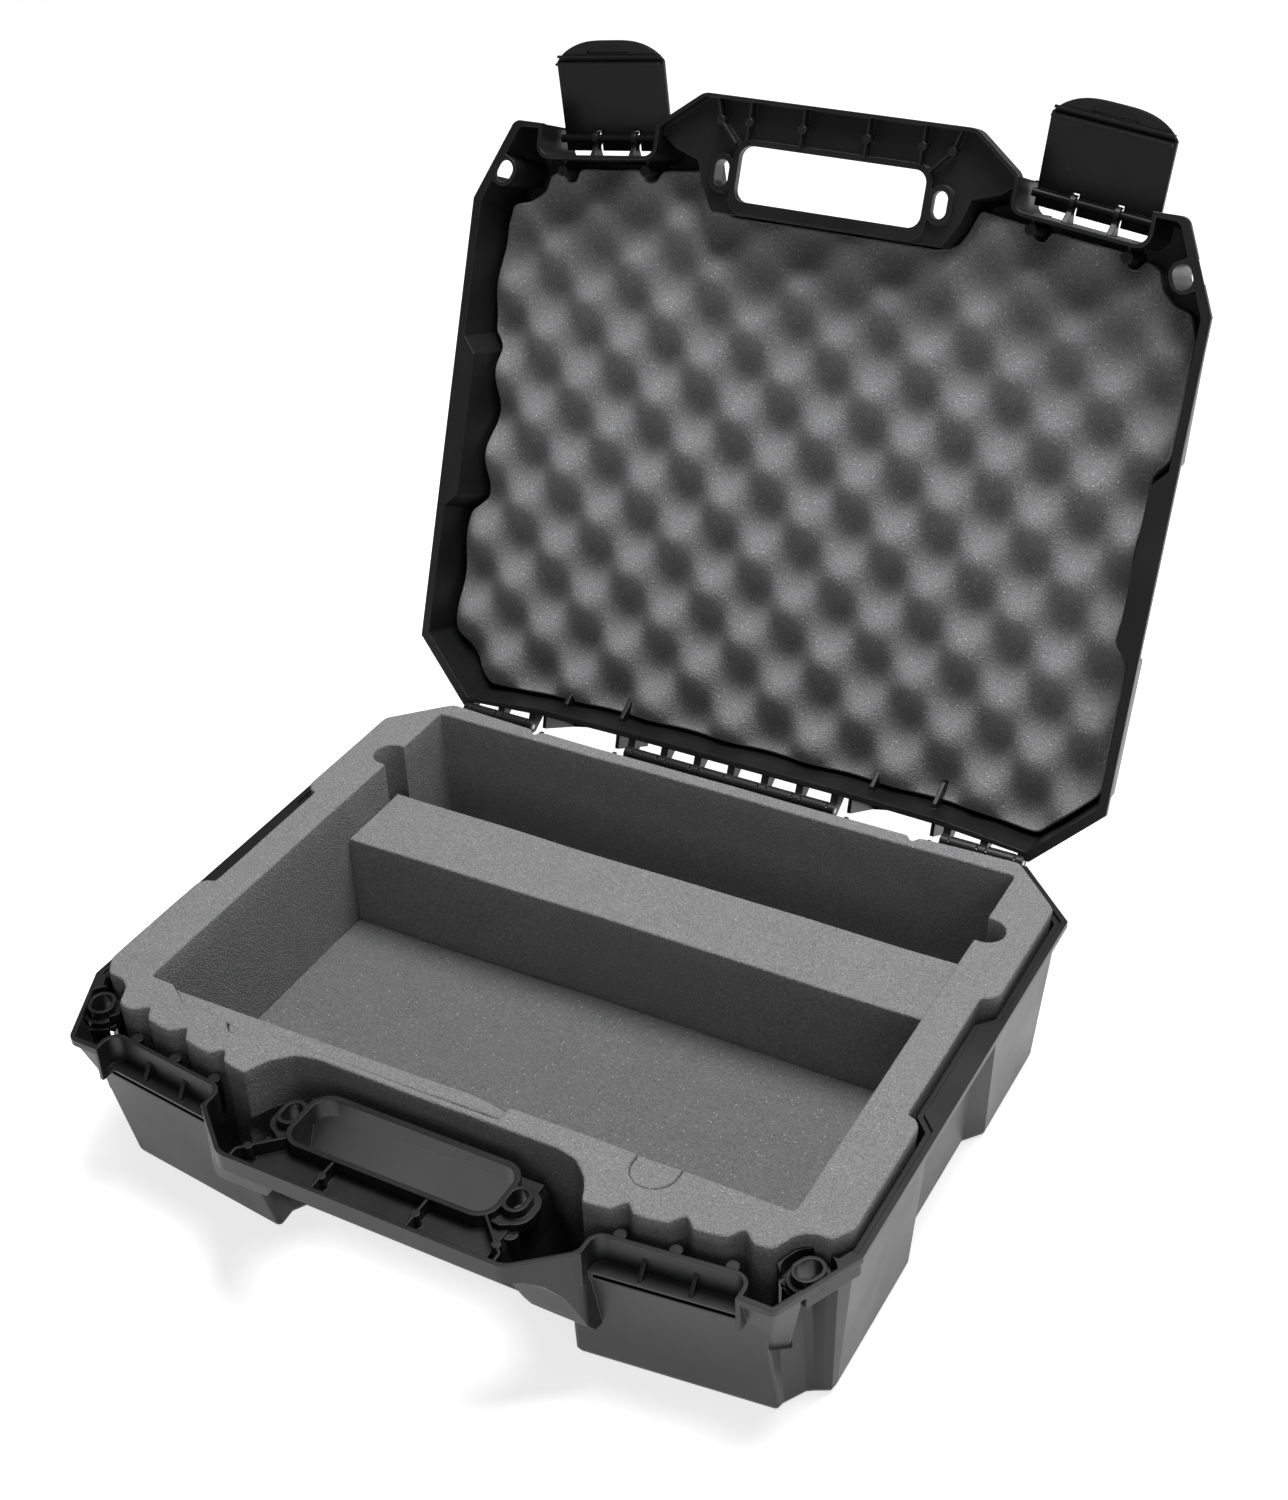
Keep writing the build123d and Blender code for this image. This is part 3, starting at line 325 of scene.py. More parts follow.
def foam_cells_group():
    """Open cells: fine mottling, painted shade in the pores, bright specks that are painted glints, and the
    height of the cell walls.
    """
    tree, enter, leave = new_group(
        "open_foam_cells",
        [("Colour", "NodeSocketColor", (0.14, 0.14, 0.14, 1.0)),
         ("Cell Size", "NodeSocketFloat", 0.0011),
         ("Mottle", "NodeSocketFloat", 0.3), ("Glint Specks", "NodeSocketFloat", 0.5)],
        [("Colour", "NodeSocketColor"), ("Height", "NodeSocketFloat")])
    place = node(tree, "ShaderNodeTexCoord").outputs["Object"]
    scale = math_node(tree, "DIVIDE", 1.0, enter.outputs["Cell Size"])
    fine = node(tree, "ShaderNodeTexNoise",
                {"Vector": place, "Scale": scale, "Detail": 2.0, "Roughness": 0.6})
    broad = node(tree, "ShaderNodeTexNoise", {"Vector": place, "Scale": 55.0, "Detail": 2.0})
    cells = node(tree, "ShaderNodeTexVoronoi", {"Vector": place, "Scale": scale})
    # Darker towards the middle of each cell: painted shade in the pores.
    pore_shade = node(tree, "ShaderNodeMapRange",
                {"Value": cells.outputs["Distance"], 1: 0.05, 2: 0.45, 3: 0.72, 4: 1.08})
    swing = math_node(tree, "SUBTRACT", fine.outputs[0], 0.5)
    swing = math_node(tree, "MULTIPLY", swing, enter.outputs["Mottle"])
    slow = math_node(tree, "MULTIPLY", math_node(tree, "SUBTRACT", broad.outputs[0], 0.5), 0.16)
    level = math_node(tree, "ADD", math_node(tree, "ADD", swing, 1.0), slow)
    level = math_node(tree, "MULTIPLY", level, pore_shade.outputs[0])
    # Sparse bright dots in the colour: painted glints on the cell walls.
    dots = node(tree, "ShaderNodeTexVoronoi", {"Vector": place, "Scale": 520.0})
    chosen = node(tree, "ShaderNodeSeparateColor", {0: dots.outputs["Color"]})
    rare = math_node(tree, "GREATER_THAN", chosen.outputs[0], 0.86)
    near = math_node(tree, "LESS_THAN", dots.outputs["Distance"], 0.24)
    glint_speck = math_node(tree, "MULTIPLY", math_node(tree, "MULTIPLY", rare, near), enter.outputs["Glint Specks"])
    grey = node(tree, "ShaderNodeVectorMath", {0: enter.outputs["Colour"]}, operation="SCALE")
    tree.links.new(level, grey.inputs["Scale"])
    with_glints = mix_colour(tree, glint_speck, grey.outputs[0], (0.42, 0.42, 0.42, 1.0))
    height = math_node(tree, "MULTIPLY", fine.outputs[0], 0.7)
    height = math_node(tree, "ADD", cells.outputs["Distance"], height)
    tree.links.new(with_glints, leave.inputs["Colour"])
    tree.links.new(height, leave.inputs["Height"])
    return tree


def crate_painted_shade_group():
    """Painted shade of the egg-crate face: 1 on the crests that stand out and 0 in the dips.

    The place is turned into the lid's u and v first, so the pattern is that of the face."""
    pitch_u, pitch_v, dip_u, dip_v = CREST[2:]
    tree, enter, leave = new_group("egg_crate_painted_shade", [("Depth", "NodeSocketFloat", 1.0)],
                                   [("Shade", "NodeSocketFloat")])
    place = node(tree, "ShaderNodeTexCoord").outputs["Object"]
    part = node(tree, "ShaderNodeSeparateXYZ", {0: place})
    rise = math_node(tree, "SUBTRACT", part.outputs[2], HINGE_Z / 1000)
    rise = math_node(tree, "MULTIPLY", rise, math.sin(LID_OPEN))
    back = math_node(tree, "SUBTRACT", part.outputs[1], HINGE_Y / 1000)
    back = math_node(tree, "MULTIPLY", back, -math.cos(LID_OPEN))
    along = math_node(tree, "ADD", rise, back)
    waves = []
    for source, pitch, dip in ((part.outputs[0], pitch_u, dip_u), (along, pitch_v, dip_v)):
        turn = math_node(tree, "SUBTRACT", source, dip / 1000)
        turn = math_node(tree, "MULTIPLY", turn, 2 * math.pi * 1000 / pitch)
        waves.append(math_node(tree, "COSINE", turn))
    wave = math_node(tree, "MULTIPLY", math_node(tree, "MULTIPLY", *waves), enter.outputs["Depth"])
    # Painted shade for the colour: high on the crests, low in the dips.
    shade = node(tree, "ShaderNodeMapRange", {"Value": wave, 1: -1.0, 2: 1.0, 3: 1.0, 4: 0.0})
    tree.links.new(shade.outputs[0], leave.inputs["Shade"])
    return tree


def moulded_group():
    """Moulded plastic: soft edges, a fine spark-eroded grain, faint dust and slow changes of sheen."""
    tree, enter, leave = new_group(
        "moulded_surface",
        [("Colour", "NodeSocketColor", (0.02, 0.02, 0.02, 1.0)), ("Roughness", "NodeSocketFloat", 0.45),
         ("Edge Radius", "NodeSocketFloat", 0.0006), ("Grain", "NodeSocketFloat", 0.1),
         ("Dust", "NodeSocketFloat", 0.3)],
        [("Colour", "NodeSocketColor"), ("Roughness", "NodeSocketFloat"), ("Normal", "NodeSocketVector")])
    place = node(tree, "ShaderNodeTexCoord").outputs["Object"]
    eased = node(tree, "ShaderNodeBevel", {"Radius": enter.outputs["Edge Radius"]}, samples=6)
    grain = node(tree, "ShaderNodeTexNoise", {"Vector": place, "Scale": 1400.0, "Detail": 2.0})
    rough = node(tree, "ShaderNodeBump",
                 {"Height": grain.outputs[0], "Distance": 0.0002, "Normal": eased.outputs[0]})
    tree.links.new(enter.outputs["Grain"], rough.inputs["Strength"])
    cloud = node(tree, "ShaderNodeTexNoise",
                 {"Vector": place, "Scale": 22.0, "Detail": 5.0, "Roughness": 0.6})
    swing = math_node(tree, "MULTIPLY", math_node(tree, "SUBTRACT", cloud.outputs[0], 0.5), 0.22)
    tree.links.new(math_node(tree, "ADD", enter.outputs["Roughness"], swing), leave.inputs["Roughness"])
    flecks = node(tree, "ShaderNodeTexVoronoi", {"Vector": place, "Scale": 260.0})
    pick = node(tree, "ShaderNodeSeparateColor", {0: flecks.outputs["Color"]})
    rare = math_node(tree, "GREATER_THAN", pick.outputs[1], 0.985)
    near = math_node(tree, "LESS_THAN", flecks.outputs["Distance"], 0.09)
    fleck = math_node(tree, "MULTIPLY", math_node(tree, "MULTIPLY", rare, near), enter.outputs["Dust"])
    film = node(tree, "ShaderNodeMapRange", {"Value": cloud.outputs[0], 1: 0.45, 2: 0.8, 3: 0.0, 4: 0.05})
    film = math_node(tree, "MULTIPLY", film.outputs[0], enter.outputs["Dust"])
    dust = math_node(tree, "MAXIMUM", fleck, film)
    dusty = mix_colour(tree, dust, enter.outputs["Colour"], (0.25, 0.25, 0.25, 1.0))
    tree.links.new(dusty, leave.inputs["Colour"])
    tree.links.new(rough.outputs[0], leave.inputs["Normal"])
    return tree


def principled(name):
    """New material with its node tree and its Principled shader."""
    made = bpy.data.materials.new(name)
    made.use_nodes = True
    tree = made.node_tree
    tree.nodes.clear()
    shader = node(tree, "ShaderNodeBsdfPrincipled")
    node(tree, "ShaderNodeOutputMaterial", {"Surface": shader.outputs[0]})
    return made, tree, shader


def foam_material(name, colour, settings, crate=False):
    """Open-cell foam; the egg-crate foam also has painted shade in its colour, darker in its dips and lighter
    on its crests.
    """
    made, tree, shader = principled(name)
    cells = node(tree, "ShaderNodeGroup", node_tree=bpy.data.node_groups["open_foam_cells"])
    cells.inputs["Colour"].default_value = (*colour, 1.0)
    cells.inputs["Cell Size"].default_value = settings.cell_size
    cells.inputs["Mottle"].default_value = settings.mottle
    cells.inputs["Glint Specks"].default_value = settings.glint_specks
    bump = node(tree, "ShaderNodeBump",
                {"Height": cells.outputs["Height"], "Strength": 0.5, "Distance": 0.0006})
    colour = cells.outputs["Colour"]
    if crate:
        # Painted shade and painted light: the colour is scaled down in the dips and up on the crests.
        shade = node(tree, "ShaderNodeGroup", node_tree=bpy.data.node_groups["egg_crate_painted_shade"])
        level = node(tree, "ShaderNodeMapRange",
                     {"Value": shade.outputs[0], 3: settings.dip_painted_shade, 4: settings.crest_painted_light})
        with_painted_shade = node(tree, "ShaderNodeVectorMath", {0: colour}, operation="SCALE")
        tree.links.new(level.outputs[0], with_painted_shade.inputs["Scale"])
        colour = with_painted_shade.outputs[0]
    tree.links.new(colour, shader.inputs["Base Color"])
    tree.links.new(bump.outputs[0], shader.inputs["Normal"])
    shader.inputs["Roughness"].default_value = 0.95
    shader.inputs["Specular IOR Level"].default_value = 0.15
    return made


def plastic_material(name, colour, roughness, edge, grain, dust, gloss):
    """Moulded plastic of one colour."""
    made, tree, shader = principled(name)
    skin = node(tree, "ShaderNodeGroup", node_tree=bpy.data.node_groups["moulded_surface"])
    for key, value in (("Colour", (*colour, 1.0)), ("Roughness", roughness), ("Edge Radius", edge),
                       ("Grain", grain), ("Dust", dust)):
        skin.inputs[key].default_value = value
    for key in ("Roughness", "Normal"):
        tree.links.new(skin.outputs[key], shader.inputs[key])
    tree.links.new(skin.outputs["Colour"], shader.inputs["Base Color"])
    shader.inputs["Specular IOR Level"].default_value = gloss
    return made


def steel_material(name, settings):
    """Steel with drawing lines along the pins, which lie along x."""
    made, tree, shader = principled(name)
    place = node(tree, "ShaderNodeTexCoord").outputs["Object"]
    stretch = node(tree, "ShaderNodeMapping", {"Vector": place, "Scale": (1.0, 60.0, 60.0)})
    lines = node(tree, "ShaderNodeTexNoise", {"Vector": stretch.outputs[0], "Scale": 40.0, "Detail": 4.0})
    tone = node(tree, "ShaderNodeMapRange", {"Value": lines.outputs[0], 3: 0.22, 4: 0.42})
    tree.links.new(tone.outputs[0], shader.inputs["Roughness"])
    shader.inputs["Base Color"].default_value = (*settings.steel_colour, 1.0)
    shader.inputs["Metallic"].default_value = 1.0
    return made


def material_of(kind):
    """The material of a kind, made once."""
    name = MATERIAL_NAMES[kind]
    if name in bpy.data.materials:
        return bpy.data.materials[name]
    if "open_foam_cells" not in bpy.data.node_groups:
        foam_cells_group()
        crate_painted_shade_group()
        moulded_group()
    scene = bpy.context.scene
    if kind == "foam":
        return foam_material(name, scene.case_foam.colour, scene.case_foam)
    # The lid foam's colour is darker than the cut foam as painted shade.
    if kind == "crate":
        return foam_material(name, scene.case_foam.lid_shaded_colour, scene.case_foam, True)
    # The well floor's colour is darkened as painted shade.
    if kind == "floor":
        return foam_material(name, scene.case_foam.well_floor_shaded_colour, scene.case_foam)
    shell = scene.case_shell
    if kind == "shell":
        return plastic_material(name, shell.colour, shell.roughness, shell.edge_radius, 0.12, 0.35,
                                shell.gloss)
    if kind == "latch":
        return plastic_material(name, shell.latch_colour, shell.latch_roughness, 0.0004, 0.06, 0.2,
                                shell.latch_gloss)
    return steel_material(name, shell)


def finish_node(name, kind):
    """Gives a CAD node its material."""
    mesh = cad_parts[name].data
    mesh.materials.clear()
    mesh.materials.append(material_of(kind))


# ---------------------------------------------------------------- settings
class CaseFoamSettings(bpy.types.PropertyGroup):
    colour: FloatVectorProperty(name="Foam colour", description="Colour of the cut foam", subtype="COLOR",
                                size=3, min=0.0, max=1.0, default=(0.19, 0.19, 0.193))
    # Set darker than the cut foam: painted shade on the lid's egg-crate foam.
    lid_shaded_colour: FloatVectorProperty(name="Lid foam colour", description="Colour of the egg-crate foam",
                                    subtype="COLOR",
                                    size=3, min=0.0, max=1.0, default=(0.15, 0.15, 0.153))
    # Set darker than the cut foam: painted shade at the bottom of the well.
    well_floor_shaded_colour: FloatVectorProperty(name="Well floor colour",
                                      description="Colour of the foam under the well",
                                      subtype="COLOR", size=3, min=0.0, max=1.0, default=(0.13, 0.13, 0.132))
    # Painted shade in the egg-crate's dips and painted light on its crests, as scales of its colour.
    dip_painted_shade: FloatProperty(name="Dip painted shade", description="Brightness of the egg-crate in its dips",
                             default=0.95, min=0.0, max=2.0)
    crest_painted_light: FloatProperty(name="Crest painted light", description="Brightness of the egg-crate on its crests",
                               default=1.45, min=0.0, max=2.0)
    cell_size: FloatProperty(name="Cell size", description="Size of the open cells", unit="LENGTH",
                             default=0.0011, min=0.0002, max=0.01)
    mottle: FloatProperty(name="Mottle", description="Contrast of the fine grain", subtype="FACTOR",
                          default=1.25, min=0.0, max=2.0)
    # Painted glints: strength of the sparse bright specks in the foam's colour.
    glint_specks: FloatProperty(name="Glint Specks", description="Strength of the bright specks", subtype="FACTOR",
                          default=0.6, min=0.0, max=1.0)
    edge: FloatProperty(name="Edge radius", description="Rounding of the cut edges, in millimetres",
                        default=1.3, min=0.1, max=5.0)
    unevenness: FloatProperty(name="Unevenness", description="Height of the slow waves, in millimetres",
                              default=0.5, min=0.0, max=3.0)


class CaseShellSettings(bpy.types.PropertyGroup):
    colour: FloatVectorProperty(name="Shell colour", description="Colour of the two shells", subtype="COLOR",
                                size=3, min=0.0, max=1.0, default=(0.007, 0.007, 0.0075))
    roughness: FloatProperty(name="Shell roughness", description="Gloss of the shells", subtype="FACTOR",
                             default=0.42, min=0.0, max=1.0)
    gloss: FloatProperty(name="Shell reflection", description="Strength of the shells' reflections",
                         subtype="FACTOR",
                         default=0.42, min=0.0, max=1.0)
    latch_gloss: FloatProperty(name="Latch reflection", description="Strength of the latches' reflections",
                               subtype="FACTOR", default=0.22, min=0.0, max=1.0)
    edge_radius: FloatProperty(name="Edge radius", description="Softness of the moulded edges", unit="LENGTH",
                               default=0.0008, min=0.0, max=0.003)
    latch_colour: FloatVectorProperty(name="Latch colour", description="Colour of the latches",
                                      subtype="COLOR",
                                      size=3, min=0.0, max=1.0, default=(0.006, 0.006, 0.0065))
    latch_roughness: FloatProperty(name="Latch roughness", description="Gloss of the latches",
                                   subtype="FACTOR",
                                   default=0.38, min=0.0, max=1.0)
    steel_colour: FloatVectorProperty(name="Pin colour", description="Colour of the hinge pins",
                                      subtype="COLOR",
                                      size=3, min=0.0, max=1.0, default=(0.5, 0.5, 0.5))


class CaseStageSettings(bpy.types.PropertyGroup):
    key: FloatProperty(name="Key light", description="Power of the large lamp", unit="POWER", default=52.0,
                       min=0.0)
    fill: FloatProperty(name="Fill light", description="Power of the side lamp", unit="POWER", default=6.0,
                        min=0.0)
    sky: FloatProperty(name="Sky", description="Brightness of the surroundings", default=0.12, min=0.0,
                       max=2.0)


# ---------------------------------------------------------------- pieces
def arc(cu, cv, radius, start, stop, count):
    """Points round a circle from one angle to another, in degrees from +u towards +v."""
    a = np.radians(np.linspace(start, stop, count))
    return np.stack([cu + radius * np.cos(a), cv + radius * np.sin(a)], 1)


def well_outline():
    """Inner outline of the insert, from its rear right corner: the well, thumb notches and front cuts."""
    half, rear, front = CAVITY
    nu, nv, nr = NOTCH
    ru, rv, rr = ROUND
    mouth = NOTCH_MOUTH
    parts = [np.array([[half, rear]]), np.array([[half, nv - mouth]]), arc(nu, nv, nr, -90, 90, 11),
             np.array([[half, nv + mouth], [half, front]]), np.array([[ru + rr, front]]),
             arc(ru, rv, rr, 0, 180, 13), np.array([[ru - rr, front]]),
             np.array([[STRIP[1], front], [STRIP[1], STRIP[2]]]),
             arc(-ru, rv, rr, 20, 160, 11), np.array([[STRIP[0] + STRIP_LEAN, STRIP[2]], [STRIP[0], front]]),
             np.array([[-half, front], [-half, nv + mouth]]),
             arc(-nu, nv, nr, 90, 270, 11), np.array([[-half, nv - mouth], [-half, rear]])]
    return np.concatenate(parts)


class CASE_OT_shells(bpy.types.Operator):
    """Finishes of the two shells."""
    bl_idname = "case.shells"
    bl_label = "Shells"

    def execute(self, context):
        for name in ("base_shell", "lid_shell"):
            finish_node(name, "shell")
        return {"FINISHED"}


class CASE_OT_latches(bpy.types.Operator):
    """Finishes of the two latches."""
    bl_idname = "case.latches"
    bl_label = "Latches"

    def execute(self, context):
        for name in ("latch_left", "latch_right"):
            finish_node(name, "latch")
        return {"FINISHED"}


class CASE_OT_hinge_pins(bpy.types.Operator):
    """Finishes of the hinge pins."""
    bl_idname = "case.hinge_pins"
    bl_label = "Hinge pins"

    def execute(self, context):
        for name in ("hinge_pin_left", "hinge_pin_centre", "hinge_pin_right"):
            finish_node(name, "steel")
        return {"FINISHED"}


class CASE_OT_insert(bpy.types.Operator):
    """Foam frame that fills the base and holds the well."""
    bl_idname = "case.insert"
    bl_label = "Foam insert"

    def execute(self, context):
        foam = context.scene.case_foam
        outer = resample(whole(INSERT), 3.5)
        outer = soften(outer, 0.35, 1)
        side = np.clip((np.abs(outer[:, 0]) - 150.0) / 60.0, 0, 1)
        low = outer * np.stack([1 - 0.030 * side, np.ones(len(outer))], 1)
        low[:, 1] = np.maximum(low[:, 1], 18.6)
        handle = (np.abs(outer[:, 0]) < 97.5) & (outer[:, 1] > 300)
        middle = outer + (low - outer) * 0.36
        under = middle.copy()
        under[:, 1] = np.where(handle, np.minimum(under[:, 1], 312.0), under[:, 1])
        low[:, 1] = np.where(handle, np.minimum(low[:, 1], 312.0), low[:, 1])
        inner = soften(resample(well_outline(), 3.5), 0.3, 1)
        walls = [(WELL_FLOOR + BLOCK_GAP, low), (-24.0, under), (-22.4, middle), (FOAM_TOP, outer)]
        holes = [[(WELL_FLOOR + BLOCK_GAP, inner), (FOAM_TOP, inner)]]

        def top(u, v):
            return FOAM_TOP - 0.15 + ripple(u, v, foam.unevenness, 0.6) * 0.5 - foam.unevenness * 0.5

        foam_piece("insert_foam", "foam_base_insert", "base", in_base,
                   cut_block(walls, holes, top, foam.edge, 5.0))
        return {"FINISHED"}


class CASE_OT_strip(bpy.types.Operator):
    """Loose strip at the front of the well, with its round tab."""
    bl_idname = "case.strip"
    bl_label = "Front strip"

    def execute(self, context):
        left, right, front = STRIP
        rear = CAVITY[2] + BLOCK_GAP
        ru, rv, rr = ROUND
        outline = np.concatenate([np.array([[right - 0.4, rear], [right - 0.4, front - 0.3]]),
                                  arc(-ru, rv, rr - 0.4, 20, 160, 11),
                                  np.array([[left + 13.6, front - 0.3], [left + 0.4, rear]])])
        outline = soften(resample(outline, 2.5), 0.3, 1)
        base = FOAM_TOP - STRIP_DEPTH

        def top(u, v):
            slope = 3.2 * np.clip((right - u) / (right - left), 0, 1) ** 0.8
            end = 5.0 * np.clip((u - right + 26.0) / 26.0, 0, 1) ** 2 * np.clip((front - v) / 10.0, 0, 1)
            return FOAM_TOP - 0.3 - slope - end + ripple(u, v, 0.25, 2.0)

        foam_piece("front_strip_foam", "foam_front_strip", "base", in_base,
                   cut_block([(base, outline), (FOAM_TOP, outline)], [], top, 1.6, 3.0))
        return {"FINISHED"}


class CASE_OT_plug(bpy.types.Operator):
    """Round plug pushed back into its own cut."""
    bl_idname = "case.plug"
    bl_label = "Round plug"

    def execute(self, context):
        ru, rv, rr = ROUND
        rear = CAVITY[2] + BLOCK_GAP
        radius = rr - 0.35
        outline = np.concatenate([[(ru + radius, rear)], arc(ru, rv, radius, 0, 180, 25),
                                  [(ru - radius, rear)]])
        outline = resample(outline, 2.5)

        def top(u, v):
            return FOAM_TOP - 0.9 + 0.05 * (u - ru)

        foam_piece("plug_foam", "foam_round_plug", "base", in_base,
                   cut_block([(FOAM_TOP - PLUG_DEPTH, outline), (FOAM_TOP, outline)], [], top, 0.9, 3.0))
        return {"FINISHED"}


class CASE_OT_floor_pad(bpy.types.Operator):
    """Foam sheet on the floor of the base."""
    bl_idname = "case.floor_pad"
    bl_label = "Bottom pad"

    def execute(self, context):
        foam = context.scene.case_foam
        outline = resample(whole(FLOOR_PAD), 6.0)
        low = moved_in(outline, 2.6)

        def top(u, v):
            return WELL_FLOOR - 0.1 - foam.unevenness * 0.5 + ripple(u, v, foam.unevenness, 1.4) * 0.5

        # Its darker material is painted shade at the bottom of the well.
        foam_piece("bottom_pad_foam", "foam_bottom_pad", "base", in_base,
                   cut_block([(PAD_BOTTOM, low), (WELL_FLOOR, outline)], [], top, foam.edge, 8.0),
                   kind="floor")
        return {"FINISHED"}


class CASE_OT_divider(bpy.types.Operator):
    """Foam block that parts the well in two."""
    bl_idname = "case.divider"
    bl_label = "Divider"

    def execute(self, context):
        foam = context.scene.case_foam
        half = CAVITY[0] - 0.5
        t = np.linspace(-1, 1, 75)
        rear = np.stack([half * t[::-1], DIVIDER_REAR + 0.9 * (1 - t ** 2) * np.sin(3.0 * t + 0.8) ** 2], 1)
        front = np.stack([half * t, DIVIDER_FRONT - 0.8 * (1 - t ** 2) * np.cos(2.2 * t) ** 2], 1)
        ends = np.linspace(0.12, 0.88, 8)[:, None]
        outline = np.concatenate([rear[::-1], rear[0] * (1 - ends) + front[-1] * ends, front[::-1],
                                  front[0] * (1 - ends) + rear[-1] * ends])

        def top(u, v):
            return DIVIDER_TOP - 0.3 + ripple(u, v, foam.unevenness, 3.1) * 0.5 - foam.unevenness * 0.5

        foam_piece("divider_foam", "foam_divider", "base", in_base,
                   cut_block([(WELL_FLOOR + BLOCK_GAP, outline), (DIVIDER_TOP, outline)], [], top,
                             foam.edge, 5.0))
        return {"FINISHED"}


class CASE_OT_lid_foam(bpy.types.Operator):
    """Egg-crate foam in the lid.

    Its face stands at w = middle + swing cos(2 pi (u - u0) / pitch_u) cos(2 pi (v - v0) / pitch_v),
    so crests and dips alternate in both directions.  It is deepest, a dip, at u0 and v0."""
    bl_idname = "case.lid_foam"
    bl_label = "Lid foam"

    def execute(self, context):
        middle, swing, pitch_u, pitch_v, dip_u, dip_v = CREST
        outline = soften(resample(whole(LID_PAD), 3.0), 0.3, 2)

        def face(u, v):
            wave = np.cos(2 * np.pi * (u - dip_u) / pitch_u) * np.cos(2 * np.pi * (v - dip_v) / pitch_v)
            return middle + swing * wave + ripple(u, v, 0.35, 0.2)

        def top(u, v):
            return -face(u, v)

        walls = [(-LID_PAD_BACK, outline), (0.0, outline)]
        points, quads, triangles = cut_block(walls, [], top, 1.2, 2.6, seams=4)
        points[:, 2] *= -1.0
        quads, triangles = quads[:, ::-1], triangles[:, ::-1]
        # Its material carries painted shade in the dips and painted light on the crests.
        foam_piece("lid_foam", "foam_lid_pad", "lid", in_lid, (points, quads, triangles), kind="crate")
        return {"FINISHED"}


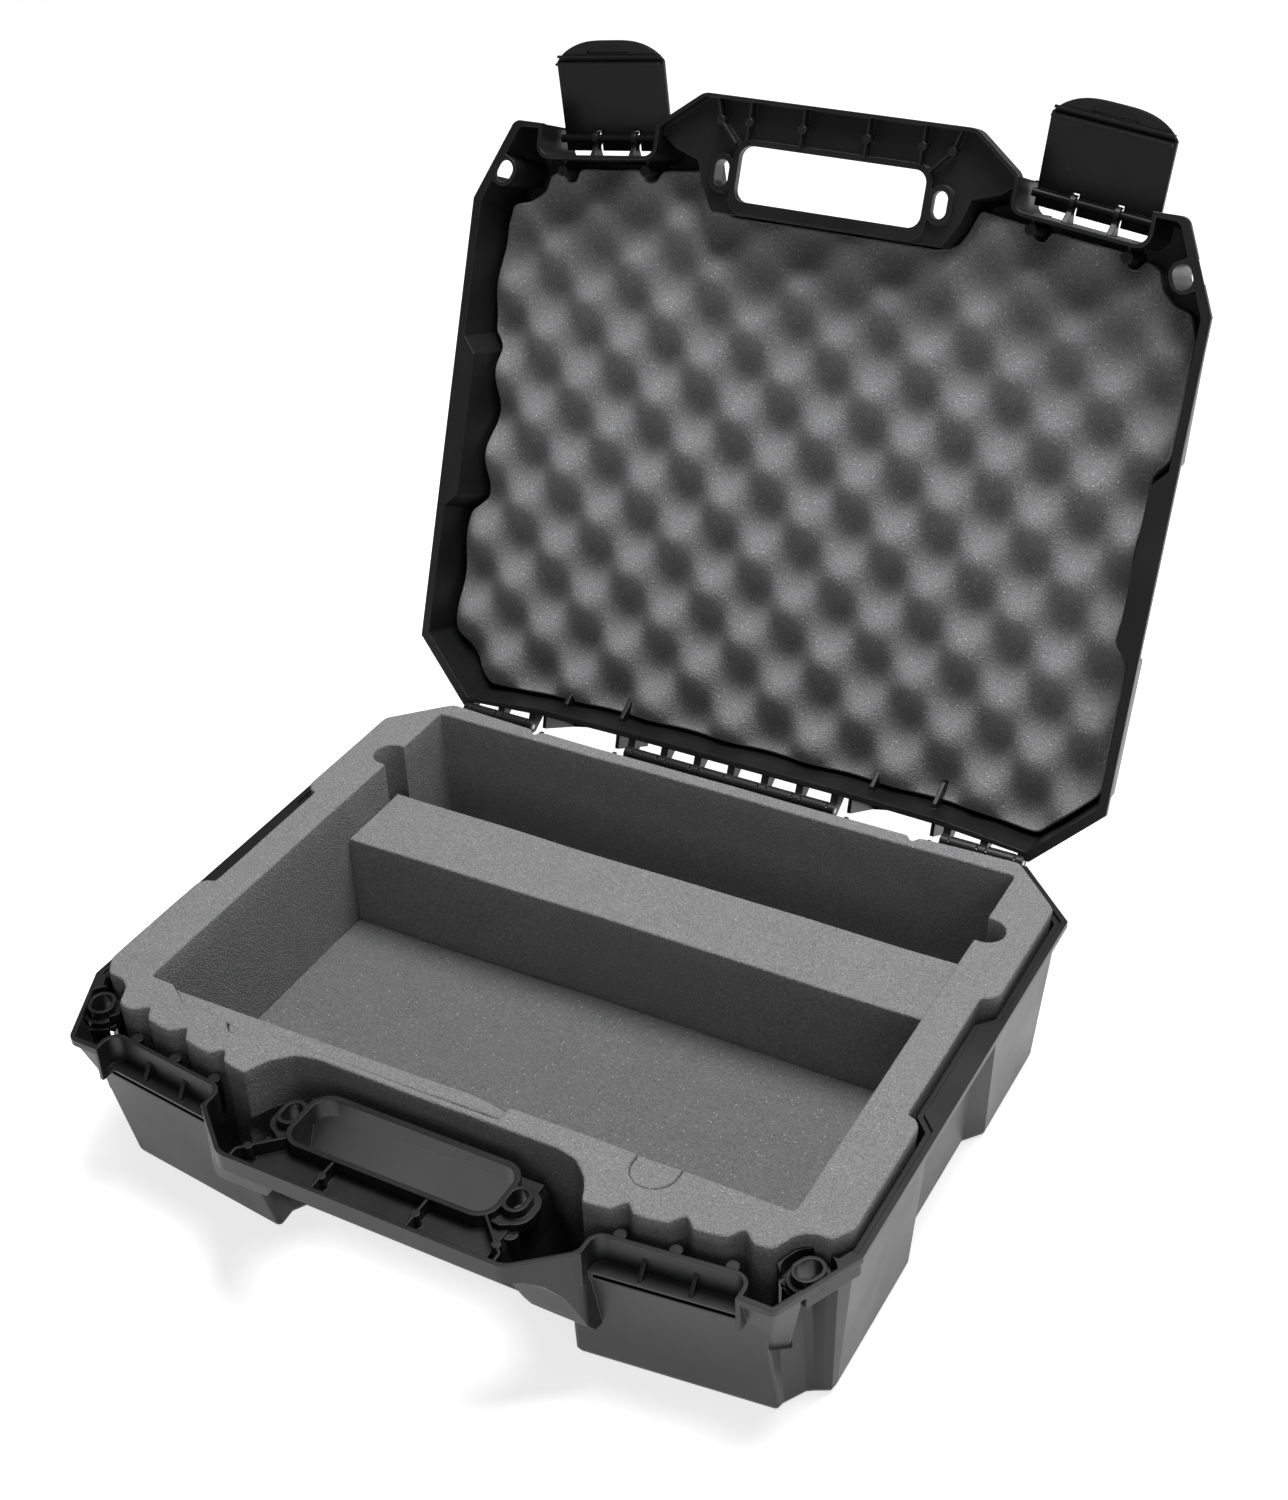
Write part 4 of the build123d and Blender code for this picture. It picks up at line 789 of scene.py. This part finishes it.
class CASE_OT_stage(bpy.types.Operator):
    """Pale floor, soft lamps and the camera."""
    bl_idname = "case.stage"
    bl_label = "Stage"

    def execute(self, context):
        scene, stage = context.scene, context.scene.case_stage
        scene.view_settings.view_transform = "Standard"
        ends = np.array([-FLOOR_HALF, FLOOR_HALF])
        gx, gy = np.meshgrid(ends, ends)
        floor = add_mesh("stage_floor", np.stack([gx.ravel(), gy.ravel(), np.full(4, FLOOR_Z)], 1),
                         np.array([[0, 1, 3, 2]]), np.zeros((0, 3), int), self.floor_material())
        world = bpy.data.worlds.new("surroundings")
        scene.world = world
        world.use_nodes = True
        tree = world.node_tree
        tree.nodes.clear()
        path = node(tree, "ShaderNodeLightPath")
        seen = math_node(tree, "MAXIMUM", path.outputs["Is Camera Ray"], path.outputs["Is Transmission Ray"],
                         True)
        light = node(tree, "ShaderNodeBackground", {"Color": WHITE, "Strength": stage.sky})
        white = node(tree, "ShaderNodeBackground", {"Color": WHITE, "Strength": 1.0})
        both = node(tree, "ShaderNodeMixShader", {0: seen, 1: light.outputs[0], 2: white.outputs[0]})
        node(tree, "ShaderNodeOutputWorld", {"Surface": both.outputs[0]})
        self.lamp("key_lamp", KEY_PLACE, stage.key)
        self.lamp("side_lamp", SIDE_PLACE, stage.fill)
        camera = bpy.data.cameras.new("camera")
        camera.lens, camera.sensor_width, camera.sensor_fit = CAMERA_LENS, CAMERA_SENSOR, "AUTO"
        camera.shift_x, camera.shift_y = CAMERA_SHIFT
        camera.clip_end = 50.0
        eye = bpy.data.objects.new("camera", camera)
        azimuth, elevation, roll = (math.radians(a) for a in CAMERA_TURN)
        back = Vector((math.sin(azimuth) * math.cos(elevation), -math.cos(azimuth) * math.cos(elevation),
                       math.sin(elevation)))
        right = Vector((math.cos(azimuth), math.sin(azimuth), 0.0))
        up = back.cross(right)
        turned = math.cos(roll) * right + math.sin(roll) * up
        upright = -math.sin(roll) * right + math.cos(roll) * up
        turn = Matrix((turned, upright, back)).transposed().to_4x4()
        eye.matrix_world = Matrix.Translation(CAMERA_PLACE) @ turn
        scene.collection.objects.link(eye)
        scene.camera = eye
        return {"FINISHED"}

    def lamp(self, name, place, power):
        """Square soft lamp turned towards the case."""
        data = bpy.data.lights.new(name, "AREA")
        data.shape, data.size, data.energy = "SQUARE", LAMP_SIZE, power
        made = bpy.data.objects.new(name, data)
        made.location = place
        made.rotation_euler = (Vector(LAMP_TARGET) - Vector(place)).to_track_quat("-Z", "Y").to_euler()
        bpy.context.scene.collection.objects.link(made)

    def floor_material(self):
        """Matt white that the camera sees as white where no shadow falls."""
        made = bpy.data.materials.new("pale_floor")
        made.use_nodes = True
        tree = made.node_tree
        tree.nodes.clear()
        diffuse = node(tree, "ShaderNodeBsdfDiffuse", {"Color": FLOOR_COLOUR})
        glow = node(tree, "ShaderNodeEmission", {"Color": WHITE, "Strength": FLOOR_GLOW})
        path = node(tree, "ShaderNodeLightPath")
        empty = node(tree, "ShaderNodeEmission", {"Strength": 0.0})
        seen = math_node(tree, "MAXIMUM", path.outputs["Is Camera Ray"], path.outputs["Is Glossy Ray"])
        lit = node(tree, "ShaderNodeMixShader", {0: seen, 1: empty.outputs[0], 2: glow.outputs[0]})
        total = node(tree, "ShaderNodeAddShader", {0: diffuse.outputs[0], 1: lit.outputs[0]})
        node(tree, "ShaderNodeOutputMaterial", {"Surface": total.outputs[0]})
        return made


class CASE_PT_panel(bpy.types.Panel):
    """Lists the pieces of the case and their settings."""
    bl_label = "Equipment case"
    bl_idname = "CASE_PT_panel"
    bl_space_type = "VIEW_3D"
    bl_region_type = "UI"
    bl_category = "Case"

    def draw(self, context):
        layout, scene = self.layout, context.scene
        for group in (scene.case_foam, scene.case_shell, scene.case_stage):
            column = layout.column(align=True)
            for key in group.__annotations__:
                column.prop(group, key)
        for operator in OPERATORS:
            layout.operator(operator.bl_idname)


OPERATORS = [CASE_OT_shells, CASE_OT_latches, CASE_OT_hinge_pins, CASE_OT_insert, CASE_OT_strip, CASE_OT_plug,
             CASE_OT_floor_pad, CASE_OT_divider, CASE_OT_lid_foam, CASE_OT_stage]
SETTINGS = {"case_foam": CaseFoamSettings, "case_shell": CaseShellSettings, "case_stage": CaseStageSettings}


def register():
    for kind in list(SETTINGS.values()) + OPERATORS + [CASE_PT_panel]:
        bpy.utils.register_class(kind)
    for name, kind in SETTINGS.items():
        setattr(bpy.types.Scene, name, PointerProperty(type=kind))


def unregister():
    for name in SETTINGS:
        delattr(bpy.types.Scene, name)
    for kind in [CASE_PT_panel] + OPERATORS[::-1] + list(SETTINGS.values())[::-1]:
        bpy.utils.unregister_class(kind)


def main():
    register()
    for operator in OPERATORS:
        name = operator.bl_idname.split(".")[1]
        getattr(bpy.ops.case, name)()


if __name__ == "__main__":
    main()
